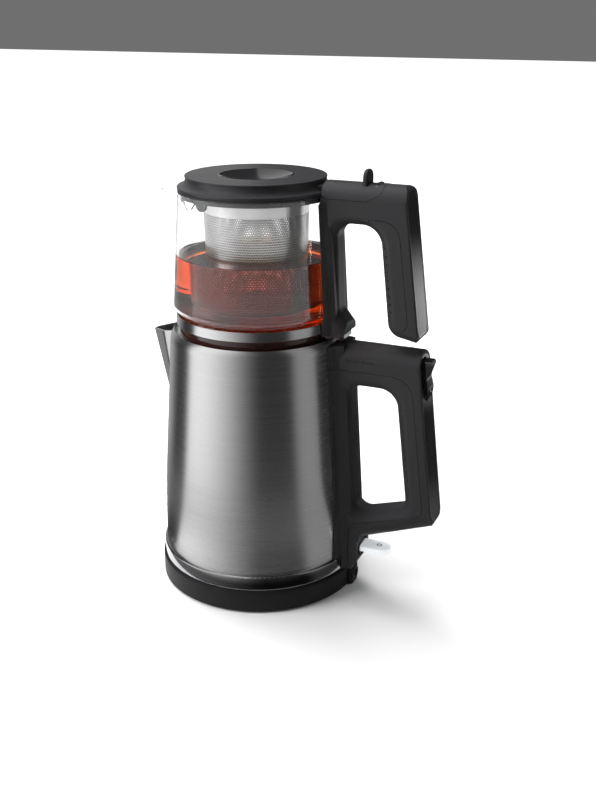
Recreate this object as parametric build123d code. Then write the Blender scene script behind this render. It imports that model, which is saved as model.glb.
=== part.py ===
"""Automatic tea maker: a stainless kettle on a power base with a glass teapot stacked on it.

Millimetres, +Z up. The origin is on the kettle's axis, on the surface it stands on.
The handles point along +X and the spouts along -X.
"""

import os
from math import atan, copysign, cos, degrees, radians, sin, sqrt, tan

from build123d import *

# ---------------------------------------------------------------- clearances
seam = 0.3            # open line between two mouldings, and the gap between separate bodies
close = 0.05          # a piece seated in or on another one
pin_fit = 0.04        # radial clearance of a pin that turns in its hole
thread_fit = 0.02     # radial clearance of a screw in its hole

# ---------------------------------------------------------------- power base
foot_rise = 1.5           # how far the foot ring lifts the base
foot_radius = 66.0        # middle of the foot ring
foot_width = 6.0
foot_seat = 0.8           # depth of the groove that holds the foot ring
base_radius = 80.5
base_rise = 17.0
base_wall = 2.4
base_edge = 2.0           # rounding of the base's top edge
plate_thickness = 2.4     # base bottom plate
boss_circle = 50.0        # circle of the base screws
boss_radius = 4.0
base_screw_count = 4
screw_radius = 1.5
screw_head_radius = 2.8
screw_head_height = 1.6
screw_length = 9.0
post_radius = 12.0        # connector post in the middle of the base
post_wall = 3.2
post_rise = 8.5           # how far the post stands above the base
sleeve_wall = 1.2         # brass contact sleeve inside the post
contact_pin_radius = 2.0
outlet_reach = 3.6        # how far the cord outlet stands proud of the base
outlet_half_width = 8.0
outlet_height = 13.5
bush_bore_radius = 3.6    # takes a 7 mm mains lead
bush_wall = 1.8
bush_lip = 1.4            # width and thickness of the bush's inner flange
bush_axis_height = 7.4    # above the base's underside

# ---------------------------------------------------------------- kettle
ring_radius = 79.0        # gloss ring round the kettle's foot
ring_rise = 11.4
ring_wall = 3.0
ring_spigot = 3.0         # height of the ring's spigot inside the steel body
under_plate_thickness = 2.2
socket_radius = 16.0      # female connector under the kettle
socket_wall = 3.4
socket_flange = 2.5       # width of the flange that holds the socket in the kettle
socket_flange_height = 2.0
body_foot_radius = 77.0
body_swell_radius = 76.35
body_waist_radius = 74.6
body_shoulder_radius = 67.6
body_rise = 176.8         # steel body, foot to rim
body_swell_height = 34.8  # heights above the body's foot
body_waist_height = 69.8
body_wall = 1.0
shoulder_drop = 8.0       # shoulder's height below the rim
rim_radius = 64.4
seat_depth = 4.0          # ledge for the kettle lid, below the rim
ledge_radius = 62.6
mouth_radius = 58.0
mouth_depth = 4.5
heater_thickness = 1.5
element_circle = 48.0
element_radius = 3.6
element_arc = 300.0
terminal_radius = 1.6
control_length = 62.0
control_width = 50.0
steam_opening_radius = 22.0
kettle_lid_thickness = 1.6
lid_lip_height = 2.2      # raised lip round the steam opening
kettle_seal_height = 1.8

# ---------------------------------------------------------------- kettle spout
spout_tip_x = -91.9
spout_tip_drop = 12.3     # tip below the rim
spout_top_slope = 10.5    # degrees that the spout's mouth falls outwards
spout_half_width = 19.0   # at the mouth, where it meets the body
spout_nose_radius = 3.0
spout_root_drop = 96.0    # lowest point of the spout, below the rim
spout_root_half_width = 4.0
spout_wall = 1.0
filter_thickness = 0.8

# ---------------------------------------------------------------- kettle handle
grip_half_width = 13.5    # both handles
arm_drop = 2.5            # top of the kettle handle, below the rim
handle_lean = 6.6         # degrees that the kettle handle's outer face leans out downwards
handle_reach = 133.5      # outer face of the kettle handle at its top
handle_crown = 1.6        # how far the outer face bulges across its width
handle_edge = 1.6         # rounding beside the outer face
handle_top_edge = 11.5    # rounding of the arm's top edges
handle_low_edge = 10.4    # rounding of the underside's edges
handle_low_turn = 4.5     # outer face's lower corner
grip_depth = 21.6         # hand grip, hole to outer face
hole_top_drop = 34.4      # hand hole, below the rim
hole_foot_height = 36.6   # hand hole's low inner corner, above the body's foot
hole_left_top = 79.4
hole_left_foot = 84.9
hole_slope = 17.0         # degrees that the hole's foot rises outwards
hole_edge = 9.0           # rounding of the hand hole's edges
under_slope = 20.5        # degrees that the handle's underside rises outwards
under_start_x = 91.5
under_start_height = 16.1 # above the body's foot
chin_x = 89.8             # front of the switch housing
chin_clearance = 0.6      # switch housing above the base
flare_half_width_top = 18.5
flare_half_width_swell = 22.0
flare_half_width_foot = 23.5
flare_stand = 0.4         # flare's edge proud of the steel body's swell
flare_reach = 11.0        # how far the flare reaches out from the body
seam_drop = 21.6          # seam of the inner grip, below the rim
seam_leg_x = 82.4
shell_wall = 3.0          # wall of the hollow handle
slot_length = 9.4
slot_height = 2.0
slot_pitch = 12.5
slot_first_x = 83.0
slot_drop = 13.0          # vent slots, below the rim
slot_depth = 1.6
slot_insert_sink = 0.5
dimple_radius = 1.15
dimple_stand = 0.5        # dimple ball's middle off the surface
kettle_dimple_columns = (-15.0, -11.6, -8.2, 8.2, 11.6, 15.0)   # across the grip's inner side
pot_dimple_columns = (-14.0, -10.4, 10.4, 14.0)
dimple_pitch = 5.7
seam_inset = 7.2          # seam of the inner grip behind the outer face
tube_radius = 2.0         # steam tube down the handle's leg
tube_wall = 0.5
tube_inset = 4.6          # tube's middle out from the body
kettle_screw_places = (62.0, 108.0)   # down the handle's face

# ---------------------------------------------------------------- strips on both handles
strip_half_width = 10.7
strip_depth = 2.4
strip_sink = 0.25         # strip face below the handle's own face
trim_width = 0.65         # thin line round each strip
trim_gap = 0.3
trim_depth = 1.2
grip_screw_radius = 1.4
grip_screw_head_radius = 2.6
grip_screw_head_height = 1.6
grip_screw_length = 11.0
kettle_strip_top_gap = 3.8
kettle_strip_foot_gap = 3.6
pot_strip_top_gap = 3.4
pot_strip_foot_gap = 3.6

# ---------------------------------------------------------------- trigger, latch and switch
trigger_half_width = 6.2
trigger_side_gap = 0.5
trigger_pivot_drop = 25.5     # below the rim
trigger_pivot_inset = 4.0     # behind the handle's outer face
trigger_pin_radius = 1.2
recess_top_gap = 4.6          # top of the trigger's recess, below the arm's top
recess_length = 33.8
recess_depth = 9.0
trigger_depth = 6.2           # trigger's back behind the handle's face
trigger_lip = 6.4             # lip proud of the handle's face
pin_seat = 2.5                # how far a pin goes into the wall beside it
rod_radius = 1.6
rod_drop = 13.2               # below the rim
rod_length = 52.0
lens_radius = 1.1
lens_drop = 7.5               # below the trigger's pivot
switch_half_width = 7.6
switch_thickness = 4.6
switch_reach = 113.4
switch_pivot_x = 84.8
switch_height = 5.6           # middle of the paddle, above the body's foot
switch_pin_radius = 1.2
switch_hub_radius = 2.6
switch_throw = 12.0           # degrees
bezel_wall = 1.5
bezel_stand = 0.8             # bezel proud of the housing

# ---------------------------------------------------------------- teapot
base_ring_radius = 60.0       # plastic ring under the teapot
base_ring_wall = 3.0
band_rise = 7.2               # steel band
band_foot_radius = 62.5
band_top_radius = 61.8
band_wall = 0.9
band_lift = 8.0               # band's lower edge above the kettle lid
glass_wall = 2.0
glass_floor = 2.5
glass_foot_radius = 60.4      # inside the band
glass_bulge_radius = 63.6
glass_bulge_height = 12.2     # above the band's lower edge
glass_bulge_crest = 0.35      # corner of the bulge before it is rounded
glass_rim_radius = 58.0
glass_rise = 95.0             # glass floor to rim
glass_floor_lift = 3.2        # glass floor above the band's lower edge
beak_sections = (             # below the glass rim, middle in X, radius
    (25.0, -47.5, 11.0),
    (9.9, -53.4, 14.0),
    (4.6, -59.0, 16.5),
    (-3.0, -70.0, 19.0),
)
beak_lift = 1.5               # spout's lip above the glass rim
beak_slope = 33.0             # degrees that the spout's mouth falls outwards
beak_mouth_x = -66.5          # where the sloping cut meets the rim's level

tongue_half_width = 10.5      # tongue of the base ring under the handle's foot
tongue_thickness = 3.0
tongue_reach = 74.0
foot_screw_x = 68.8
foot_screw_y = 5.6

# ---------------------------------------------------------------- strainer
collar_top = 1.3              # thickness of the collar's flange on the glass rim
collar_skirt_height = 3.4
collar_wall = 2.0
collar_floor = 1.4
basket_top_radius = 39.7
basket_foot_radius = 37.5
basket_wall = 0.6
basket_foot_lift = 7.0        # basket's floor above the glass floor
basket_flange = 2.2
lug_radius = 5.0
lug_thickness = 1.6
lug_angles = (205.0, 252.0, 25.0, 72.0)

# ---------------------------------------------------------------- pot lid
lid_top_rise = 11.7           # lid's top above the glass rim
lid_disc_radius = 52.4
lid_neck_radius = 51.9
lid_flange_radius = 58.2
lid_flange_height = 2.4
lid_cove_turn = 6.0           # cove between the flange and the top disc
lid_wall = 2.2
lid_side_wall = 3.4
knob_radius = 28.0            # dished knob, flush with the lid's top
knob_land = 0.6               # flat rim round the dish
knob_depth = 4.8
knob_wall = 1.2
knob_spigot_radius = 5.0
plug_clearance = 1.1          # lid plug inside the strainer's collar
plug_height = 2.6
plug_wall = 2.4
rib_count = 8
lid_seal_height = 1.0
lid_boss_circle = 45.5
lid_boss_radius = 3.6
arm_screw_x = 54.8            # screws that hold the arm to the lid's flange
arm_screw_y = 5.6
arm_root_half_width = 9.5

# ---------------------------------------------------------------- pot handle, lid arm and hinge
pot_top_rise = 11.0           # handle's top above the glass rim
pot_handle_reach = 119.0      # outer face at the top
pot_handle_lean = 7.3
pot_handle_drop = 111.5       # handle's height
pot_grip_depth = 23.0
pot_arch_drop = 28.7          # underside of the arch, below the handle's top
pot_arch_outer_turn = 15.0    # roundings of the arch's two corners
pot_arch_inner_turn = 11.0
pot_arch_flat = 0.2           # least share of the arch that stays straight
pot_leg_x = 66.9
pot_leg_foot_x = 69.3
pot_foot_x = 76.6
pot_foot_height = 18.0        # height where the leg swells into its foot
pot_hole_edge = 8.5           # rounding of the inner side's edges
pot_seam_reach = 3.1          # inner grip's seam runs on past the grip's inner side
pot_top_edge = 11.5
pot_flare_half_width = 17.5
pot_flare_reach = 8.0
pot_screw_places = (52.0, 88.0)       # down the handle's face
hinge_x = 96.0
hinge_drop = 2.0              # hinge pin below the handle's top
hinge_radius = 5.7            # arm's end round the pin
hinge_pin_radius = 1.25
hinge_pin_half_length = 7.2
knuckle_radius = 3.0
knuckle_half_width = 4.0
arm_slope = 30.0              # degrees, arm's underside beside the hinge
arm_notch_x = 57.0            # arm's top starts here, clear of the lid's neck
paddle_x = 87.3
paddle_thickness = 3.4
paddle_half_width = 7.2
paddle_rise = 9.6             # above the handle's top
paddle_root = 6.5             # depth of the paddle's slot in the arm

# ---------------------------------------------------------------- levels that follow from the sizes
base_bottom = foot_rise
base_top = base_bottom + base_rise
ring_bottom = base_top + seam
body_bottom = ring_bottom + ring_rise
rim = body_bottom + body_rise
ledge = rim - seat_depth
kettle_lid_top = ledge + kettle_lid_thickness
pot_bottom = kettle_lid_top + seam
band_bottom = pot_bottom + band_lift
band_top = band_bottom + band_rise
glass_bottom = band_bottom + glass_floor_lift
glass_rim = glass_bottom + glass_rise
collar_level = glass_rim + collar_top
lid_bottom = collar_level + seam
lid_top = glass_rim + lid_top_rise
pot_top = glass_rim + pot_top_rise
pot_foot = pot_top - pot_handle_drop
arm_top = rim - arm_drop


# ---------------------------------------------------------------- helpers
def outline(points, radii=0.0):
    """Closed flat face with a rounding at each corner."""
    return make_face(FilletPolyline(*points, radius=radii, close=True))


def side_prism(points, radii, half_width):
    """Outline in X and Z, extruded both ways along Y."""
    return extrude(Plane.XZ * outline(points, radii), amount=half_width, both=True)


def turned(points, radii=0.0):
    """Outline in radius and height, turned round the Z axis."""
    return revolve(Plane.XZ * outline(points, radii), axis=Axis.Z)


def disc(radius, low, high, x=0.0, y=0.0):
    """Upright cylinder between two heights."""
    return Pos(x, y, (low + high) / 2) * Cylinder(radius, high - low)


def pipe_ring(outer, inner, low, high, x=0.0, y=0.0):
    """Upright tube between two heights."""
    return disc(outer, low, high, x, y) - disc(inner, low - 1, high + 1, x, y)


def block(low, high):
    """Box between two corners."""
    size = [b - a for a, b in zip(low, high)]
    middle = [(a + b) / 2 for a, b in zip(low, high)]
    return Pos(*middle) * Box(*size)


def rod_x(radius, start, end, y, z):
    """Cylinder along X."""
    return Pos((start + end) / 2, y, z) * Rot(0, 90, 0) * Cylinder(radius, end - start)


def rod_y(radius, half_length, x, z):
    """Cylinder along Y, centred on the handle."""
    return Pos(x, 0, z) * Rot(90, 0, 0) * Cylinder(radius, 2 * half_length)


def biggest(shape):
    """Largest solid of a cut shape."""
    return max(shape.solids(), key=lambda s: s.volume)


# ---------------------------------------------------------------- power base
def screw_places():
    """Centres of the base screws."""
    turn = 360 / base_screw_count
    angles = [radians(turn * (i + 0.5)) for i in range(base_screw_count)]
    return [(boss_circle * cos(a), boss_circle * sin(a)) for a in angles]


def outlet_block(grow, start):
    """Rounded block of the cord outlet."""
    end = base_radius + outlet_reach + grow
    half = outlet_half_width + grow
    low, high = base_bottom - grow, base_bottom + outlet_height + grow
    body = block((start, -half, low), (end, half, high))
    return fillet(body.edges().filter_by(Axis.Z).group_by(Axis.X)[-1], 4.0)


def base_housing():
    inside = base_top - base_wall
    shell = disc(base_radius, base_bottom, base_top)
    shell = fillet(shell.edges().group_by(Axis.Z)[-1], base_edge)
    shell += outlet_block(0.0, base_radius - 8.0)
    shell -= disc(base_radius - base_wall, base_bottom - 1, inside)
    shell -= disc(post_radius + close, inside - 1, base_top + 1)
    for x, y in screw_places():
        shell += disc(boss_radius, base_bottom + plate_thickness, inside, x, y)
        low = base_bottom + plate_thickness - 1
        shell -= disc(screw_radius + thread_fit, low, base_bottom + screw_length + 0.5, x, y)
    bush = bush_bore_radius + bush_wall + close
    axis = base_bottom + bush_axis_height
    shell -= rod_x(bush, base_radius - 12, base_radius + outlet_reach + 2, 0, axis)
    shell -= block(
        (base_radius - 12, -outlet_half_width + 1.5, base_bottom - 1),
        (base_radius - base_wall, outlet_half_width - 1.5, base_bottom + plate_thickness),
    )
    return biggest(shell)


def base_bottom_plate():
    low, high = base_bottom, base_bottom + plate_thickness
    plate = disc(base_radius - base_wall - close, low, high)
    outer, inner = foot_radius + foot_width / 2 + close, foot_radius - foot_width / 2 - close
    plate -= pipe_ring(outer, inner, low - 1, low + foot_seat)
    for x, y in screw_places():
        plate -= disc(screw_radius + close, low - 1, high + 1, x, y)
        plate -= disc(screw_head_radius + close, low - 1, low + screw_head_height, x, y)
    bush = bush_bore_radius + bush_wall + bush_lip
    return plate - rod_x(bush + close, base_radius - 10, base_radius, 0, low + bush_axis_height)


def foot_ring():
    outer, inner = foot_radius + foot_width / 2, foot_radius - foot_width / 2
    ring = pipe_ring(outer, inner, 0, base_bottom + foot_seat)
    return fillet(ring.edges().group_by(Axis.Z)[0], 0.5)


def base_screws():
    low = base_bottom + 0.1
    screws = []
    for x, y in screw_places():
        head = disc(screw_head_radius, low, base_bottom + screw_head_height, x, y)
        screws.append(head + disc(screw_radius, low, base_bottom + screw_length, x, y))
    return Compound(screws)


def connector_post():
    low, high = base_bottom + plate_thickness, base_top + post_rise
    post = disc(post_radius, low, high)
    post = fillet(post.edges().group_by(Axis.Z)[-1], 1.2)
    return post - disc(post_radius - post_wall, low + post_wall, high + 1)


def contact_sleeve():
    low, high = base_bottom + plate_thickness + post_wall, base_top + post_rise - 1.0
    outer = post_radius - post_wall - close
    return pipe_ring(outer, outer - sleeve_wall, low, high)


def contact_pin():
    low, high = base_bottom + plate_thickness + post_wall, base_top + post_rise - 2.0
    pin = disc(contact_pin_radius, low, high)
    return fillet(pin.edges().group_by(Axis.Z)[-1], 0.8)


def cord_bush():
    axis = base_bottom + bush_axis_height
    outer, end = bush_bore_radius + bush_wall, base_radius + outlet_reach
    wall = sqrt((base_radius - base_wall) ** 2 - (outer + bush_lip) ** 2)
    bush = rod_x(outer, wall - bush_lip - 1.0, end + 0.6, 0, axis)
    bush += rod_x(outer + bush_lip, wall - bush_lip - 1.0, wall - 1.0 + close, 0, axis)
    return bush - rod_x(bush_bore_radius, wall - 6, end + 2, 0, axis)


# ---------------------------------------------------------------- kettle underside
def kettle_socket():
    low, top = ring_bottom + 0.6, base_top + post_rise + seam
    socket = disc(socket_radius, low, top + socket_wall)
    flange_low = ring_bottom + under_plate_thickness + seam
    flange = disc(socket_radius + socket_flange, flange_low, flange_low + socket_flange_height)
    socket += flange
    return socket - disc(post_radius + seam, low - 1, top)


def kettle_bottom_ring():
    inner = ring_radius - ring_wall - 1.8
    spigot = body_foot_radius - body_wall - 0.35
    points = [
        (inner, ring_bottom + under_plate_thickness),
        (ring_radius - ring_wall, ring_bottom + under_plate_thickness),
        (ring_radius - ring_wall, ring_bottom),
        (ring_radius, ring_bottom),
        (ring_radius, body_bottom),
        (spigot, body_bottom),
        (spigot, body_bottom + ring_spigot),
        (inner, body_bottom + ring_spigot),
    ]
    return turned(points, [0, 0, 0, 1.0, 1.4, 0, 0, 0])


def kettle_under_plate():
    low, high = ring_bottom, ring_bottom + under_plate_thickness
    plate = disc(ring_radius - ring_wall - close, low, high)
    plate -= disc(socket_radius + seam, low - 1, high + 1)
    slots = [
        Rot(0, 0, 30 + 60 * i) * block((30, -1.2, low - 1), (44, 1.2, high + 1)) for i in range(6)
    ]
    return plate - slots


def heater_plate():
    low = body_bottom + ring_spigot + close
    plate = disc(body_foot_radius + 5, low, low + heater_thickness)
    return plate & body_fill(-body_wall - close)


def element_level():
    """Height of the heating element's centre line."""
    return body_bottom + ring_spigot - element_radius


def heating_element():
    section = Plane.XZ * Pos(element_circle, element_level()) * Circle(element_radius)
    tube = revolve(section, axis=Axis.Z, revolution_arc=element_arc)
    tube = Rot(0, 0, -element_arc / 2) * tube
    for sign in (-1, 1):
        angle = radians(sign * element_arc / 2)
        x, y = element_circle * cos(angle), element_circle * sin(angle)
        level = element_level()
        lead = Pos(x, y, level) * Rot(0, 0, degrees(angle) + sign * 90) * Rot(0, 90, 0)
        tube += lead * Cylinder(terminal_radius, 12.0)
    return biggest(tube)


def control_block():
    low = ring_bottom + under_plate_thickness + 2 * seam + socket_flange_height
    high = body_bottom + ring_spigot
    body = block(
        (-control_length / 2, -control_width / 2, low), (control_length / 2, control_width / 2, high)
    )
    body = fillet(body.edges().filter_by(Axis.Z), 6.0)
    body -= disc(socket_radius + seam, low - 1, high + 1)
    tail = element_circle - element_radius - 1.0
    return biggest(body & disc(tail, low - 1, high + 1))


# ---------------------------------------------------------------- steel body
def body_wall_edges(move):
    """Outer wall from foot to shoulder, moved outwards by a distance."""
    foot = (body_foot_radius + move, body_bottom)
    swell = (body_swell_radius + move, body_bottom + body_swell_height)
    waist = (body_waist_radius + move, body_bottom + body_waist_height)
    shoulder = (body_shoulder_radius + move, rim - shoulder_drop)
    return foot, waist, shoulder, ThreePointArc(foot, swell, waist), Line(waist, shoulder)


def body_fill(move):
    """Solid plug inside the body's outer wall moved by a distance, up to the rim."""
    foot, _, shoulder, arc, line = body_wall_edges(move)
    crest = (rim_radius + move, rim + move)
    round_shoulder = TangentArc(shoulder, crest, tangent=line % 1)
    cap = Polyline(crest, (0, rim + move), (0, body_bottom), foot)
    return revolve(Plane.XZ * make_face([arc, line, round_shoulder, *cap.edges()]), axis=Axis.Z)


def body_radius(z):
    """Outer radius of the steel body on its straight upper part."""
    low, high = body_bottom + body_waist_height, rim - shoulder_drop
    share = (z - low) / (high - low)
    return body_waist_radius + share * (body_shoulder_radius - body_waist_radius)


def kettle_body():
    foot, _, shoulder, arc, line = body_wall_edges(0.0)
    in_foot, _, in_shoulder, in_arc, in_line = body_wall_edges(-body_wall)
    crest = (rim_radius, rim)
    round_shoulder = TangentArc(shoulder, crest, tangent=line % 1)
    neck = Polyline(
        crest,
        (ledge_radius + 0.6, rim - 1.2),
        (ledge_radius, ledge),
        (mouth_radius, ledge),
        (mouth_radius, ledge - mouth_depth),
        (mouth_radius + body_wall, ledge - mouth_depth),
        (mouth_radius + body_wall, ledge - body_wall),
        (ledge_radius + body_wall, ledge - body_wall),
        in_shoulder,
    )
    foot_edge = Line(foot, in_foot)
    edges = [arc, line, round_shoulder, *neck.edges(), in_line, in_arc, foot_edge]
    shell = revolve(Plane.XZ * make_face(edges), axis=Axis.Z)
    shell -= spout_form(-spout_wall, 4.0)
    return biggest(shell)


# ---------------------------------------------------------------- kettle spout
def spout_section(level, half_width, nose_x, nose_radius, depth):
    """Plan of the spout at one height: a wedge with a round nose."""
    points = [
        (nose_x, -nose_radius),
        (nose_x, nose_radius),
        (nose_x + 18.0, half_width - 2.5),
        (nose_x + depth, half_width + 1.0),
        (nose_x + depth, -half_width - 1.0),
        (nose_x + 18.0, -half_width + 2.5),
    ]
    radii = [nose_radius * 0.9, nose_radius * 0.9, 8.0, 0, 0, 8.0]
    return Pos(0, 0, level) * outline(points, radii)


def spout_form(move, sink):
    """Solid form of the spout moved outwards by a distance, before its mouth is cut."""
    top, root = rim + 2.0, rim - spout_root_drop
    lean = (spout_tip_x + body_radius(root)) / (spout_root_drop - spout_tip_drop)
    top_x = spout_tip_x + lean * (top - (rim - spout_tip_drop)) - move
    root_x = -body_radius(root) + 0.4 - move
    upper = spout_section(top, spout_half_width + move, top_x, spout_nose_radius + move, 40.0)
    low_points = [
        (root_x, -1.0),
        (root_x, 1.0),
        (root_x + 3.0, spout_root_half_width + move - 0.6),
        (root_x + 12.0, spout_root_half_width + move),
        (root_x + 12.0, -spout_root_half_width - move),
        (root_x + 3.0, -spout_root_half_width - move + 0.6),
    ]
    lower = Pos(0, 0, root) * outline(low_points, [0.8, 0.8, 1.0, 0, 0, 1.0])
    form = loft([lower, upper])
    return form & block((-200, -60, root + sink), (-30, 60, top))


def spout_mouth_cut():
    """Everything above the sloping mouth of the spout."""
    cut = Pos(0, 0, 30) * Box(200, 120, 60)
    return Pos(spout_tip_x, 0, rim - spout_tip_drop) * Rot(0, -spout_top_slope, 0) * cut


def kettle_spout():
    shell = spout_form(0.0, 0.0) - spout_form(-spout_wall, 3.0)
    shell -= spout_mouth_cut()
    shell -= body_fill(close)
    return biggest(shell)


def spout_filter():
    low, high = rim - 70.0, rim - 20.0
    wall = body_fill(-body_wall - close) - body_fill(-body_wall - close - filter_thickness)
    plate = wall & block((-90, -13, low), (-40, 13, high))
    holes = [
        rod_x(1.4, -90, -40, y, z)
        for z in [low + 6 + 6.5 * i for i in range(6)]
        for y in (-8.0, 0.0, 8.0)
    ]
    return biggest(plate - holes)


# ---------------------------------------------------------------- kettle lid
def kettle_lid():
    plug = mouth_radius - 0.6
    foot = ledge - mouth_depth + 0.3
    points = [
        (steam_opening_radius, foot),
        (plug, foot),
        (plug, ledge + close),
        (ledge_radius - 0.7, ledge + close),
        (ledge_radius - 0.7, kettle_lid_top),
        (plug - kettle_lid_thickness, kettle_lid_top),
        (plug - kettle_lid_thickness, foot + kettle_lid_thickness),
        (steam_opening_radius + 1.6, foot + kettle_lid_thickness),
        (steam_opening_radius + 1.6, kettle_lid_top - lid_lip_height),
        (steam_opening_radius, kettle_lid_top - lid_lip_height),
    ]
    lid = turned(points)
    groove = ledge - mouth_depth / 2
    half = kettle_seal_height / 2 + close
    return lid - pipe_ring(plug + 1, plug - 0.7, groove - half, groove + half)


def kettle_lid_seal():
    middle, half = ledge - mouth_depth / 2, kettle_seal_height / 2
    plug = mouth_radius - 0.6
    return pipe_ring(mouth_radius - close, plug - 0.7 + close, middle - half, middle + half)


# ---------------------------------------------------------------- kettle handle form
def crown_prism(top_x, top_z, lean, length):
    """Long prism with a crowned outer face, laid along a leaning handle face."""
    half = grip_half_width
    crown = ThreePointArc((0, -half), (handle_crown, 0), (0, half))
    back = Polyline((0, half), (-160, half), (-160, -half), (0, -half))
    face = make_face([crown, *back.edges()])
    corners = face.vertices().group_by(Axis.X)[-1]
    face = fillet(corners, handle_edge)
    prism = extrude(face, amount=length)
    return Pos(top_x, 0, top_z) * Rot(0, -lean, 0) * Pos(0, 0, 20 - length) * prism


def arch_prism(top, half, rounding, start, end, low):
    """Prism along X with a round-edged top."""
    points = [(-half, low), (half, low), (half, top), (-half, top)]
    face = Plane.YZ * outline(points, [0, 0, rounding, rounding])
    return Pos(start, 0, 0) * extrude(face, amount=end - start)


def kettle_handle_points():
    """Corners and roundings of the kettle handle seen from the side."""
    lean = tan(radians(handle_lean))
    low = body_bottom + under_start_height
    rise = tan(radians(under_slope))
    face_at_low = handle_reach + (arm_top - low) * lean
    corner_x = (face_at_low + rise * under_start_x * lean) / (1 + rise * lean)
    corner_z = low + (corner_x - under_start_x) * rise
    chin = base_top + chin_clearance
    points = [
        (40, arm_top),
        (handle_reach, arm_top),
        (corner_x, corner_z),
        (under_start_x, low),
        (chin_x, low - 3.0),
        (chin_x, chin + 7.0),
        (chin_x - 6.0, chin),
        (40, chin),
    ]
    return points, [0, 5.0, handle_low_turn, 2.0, 1.0, 5.0, 3.0, 0]


def kettle_hole_points():
    """Corners and roundings of the hand hole."""
    lean = tan(radians(handle_lean))
    top = rim - hole_top_drop
    inner_top = handle_reach - grip_depth + (arm_top - top) * lean
    foot = body_bottom + hole_foot_height
    rise = tan(radians(hole_slope))
    inner_foot = handle_reach - grip_depth + (arm_top - foot) * lean
    corner_x = (inner_foot + rise * hole_left_foot * lean) / (1 + rise * lean)
    corner_z = foot + (corner_x - hole_left_foot) * rise
    points = [(hole_left_top, top), (inner_top, top), (corner_x, corner_z), (hole_left_foot, foot)]
    return points, [9.0, 14.0, 8.0, 9.0]


def inner_grip_points():
    """Corners and roundings of the seam round the inner grip."""
    lean = tan(radians(handle_lean + 0.4))
    top = rim - seam_drop
    reach = handle_reach - seam_inset + (arm_top - top) * lean
    low = body_bottom + hole_foot_height - 6.0
    rise = tan(radians(hole_slope))
    foot_face = handle_reach - seam_inset + (arm_top - low) * lean
    corner_x = (foot_face + rise * seam_leg_x * lean) / (1 + rise * lean)
    corner_z = low - 2.0 + (corner_x - seam_leg_x) * rise
    chin = base_top + chin_clearance
    points = [
        (40, top),
        (reach, top),
        (corner_x, corner_z),
        (seam_leg_x, low - 2.0),
        (seam_leg_x, chin - 5),
        (40, chin - 5),
    ]
    return points, [0, 17.0, 9.0, 12.0, 0, 0]


def flare_section(level, radius, half_width, reach):
    """Plan of the flare where the handle meets a round body."""
    start = sqrt(radius**2 - half_width**2) - 7.0
    edge = sqrt(radius**2 - half_width**2)
    reach = edge + reach
    inner = grip_half_width - 1.0
    points = [
        (start, -half_width),
        (edge + 0.8, -half_width),
        (edge + 3.2, -grip_half_width - 1.2),
        (reach, -inner),
        (reach, inner),
        (edge + 3.2, grip_half_width + 1.2),
        (edge + 0.8, half_width),
        (start, half_width),
    ]
    return Pos(0, 0, level) * outline(points, [0, 0.4, 5.0, 0, 0, 5.0, 0.4, 0])


def kettle_flare():
    """Plate-like flare that spreads the handle's leg along the body."""
    low, high = base_top + chin_clearance, arm_top
    swell = body_bottom + body_swell_height
    sections = [
        flare_section(low, ring_radius - 1.0, flare_half_width_foot, flare_reach),
        flare_section(swell, body_swell_radius + flare_stand, flare_half_width_swell, flare_reach),
        flare_section(high, body_radius(high), flare_half_width_top, flare_reach),
    ]
    form = loft(sections, ruled=True)
    return form & arch_prism(arm_top - 0.5, flare_half_width_foot + 2, 15.0, 30, 120, 0)


def under_prism():
    """Round-edged prism along the underside, with the switch housing left whole."""
    half, top = grip_half_width, 300.0
    face = outline([(-half, 0), (half, 0), (half, top), (-half, top)], [handle_low_edge] * 2 + [0, 0])
    prism = Pos(-60, 0, 0) * extrude(Plane.YZ * face, amount=200)
    low = body_bottom + under_start_height
    prism = Pos(under_start_x, 0, low) * Rot(0, -under_slope, 0) * prism
    return prism + block((-20, -half, 0), (under_start_x, half, 250))


def kettle_handle_form():
    """Outer form of the whole kettle handle, before it is divided into mouldings."""
    points, radii = kettle_handle_points()
    form = side_prism(points, radii, grip_half_width)
    hole, hole_radii = kettle_hole_points()
    form -= side_prism(hole, hole_radii, grip_half_width + 1)
    sides = form.faces().filter_by(Axis.Y)
    loops = [min(f.inner_wires(), key=lambda w: w.length) for f in sides]
    form = fillet([e for w in loops for e in w.edges()], hole_edge)
    bounds = crown_prism(handle_reach, arm_top, handle_lean, 260) & under_prism()
    form &= bounds & arch_prism(arm_top, grip_half_width, handle_top_edge, 0, 200, 0)
    form += kettle_flare()
    form -= body_fill(close)
    form -= disc(ring_radius + seam, ring_bottom - 5, body_bottom + close)
    return biggest(form)


# ---------------------------------------------------------------- strips
def face_frame(top_x, top_z, lean):
    """Frame on a leaning handle face: X points out of it and Z runs up along it."""
    return Pos(top_x, 0, top_z) * Rot(0, -lean, 0)


def strip_zone(frame, half_width, start, length, depth):
    """Long round-ended prism that stands through the outer face."""
    slot = Pos(0, -start - length / 2) * SlotOverall(length, 2 * half_width, rotation=90)
    return frame * Pos(-depth, 0, 0) * extrude(Plane.YZ * slot, amount=depth + 12)


def inset_core(points, radii, depth):
    """Side prism of a handle's outline moved in by a depth."""
    face = offset(outline(points, radii), amount=-depth)
    return extrude(Plane.XZ * face, amount=40, both=True)


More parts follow.
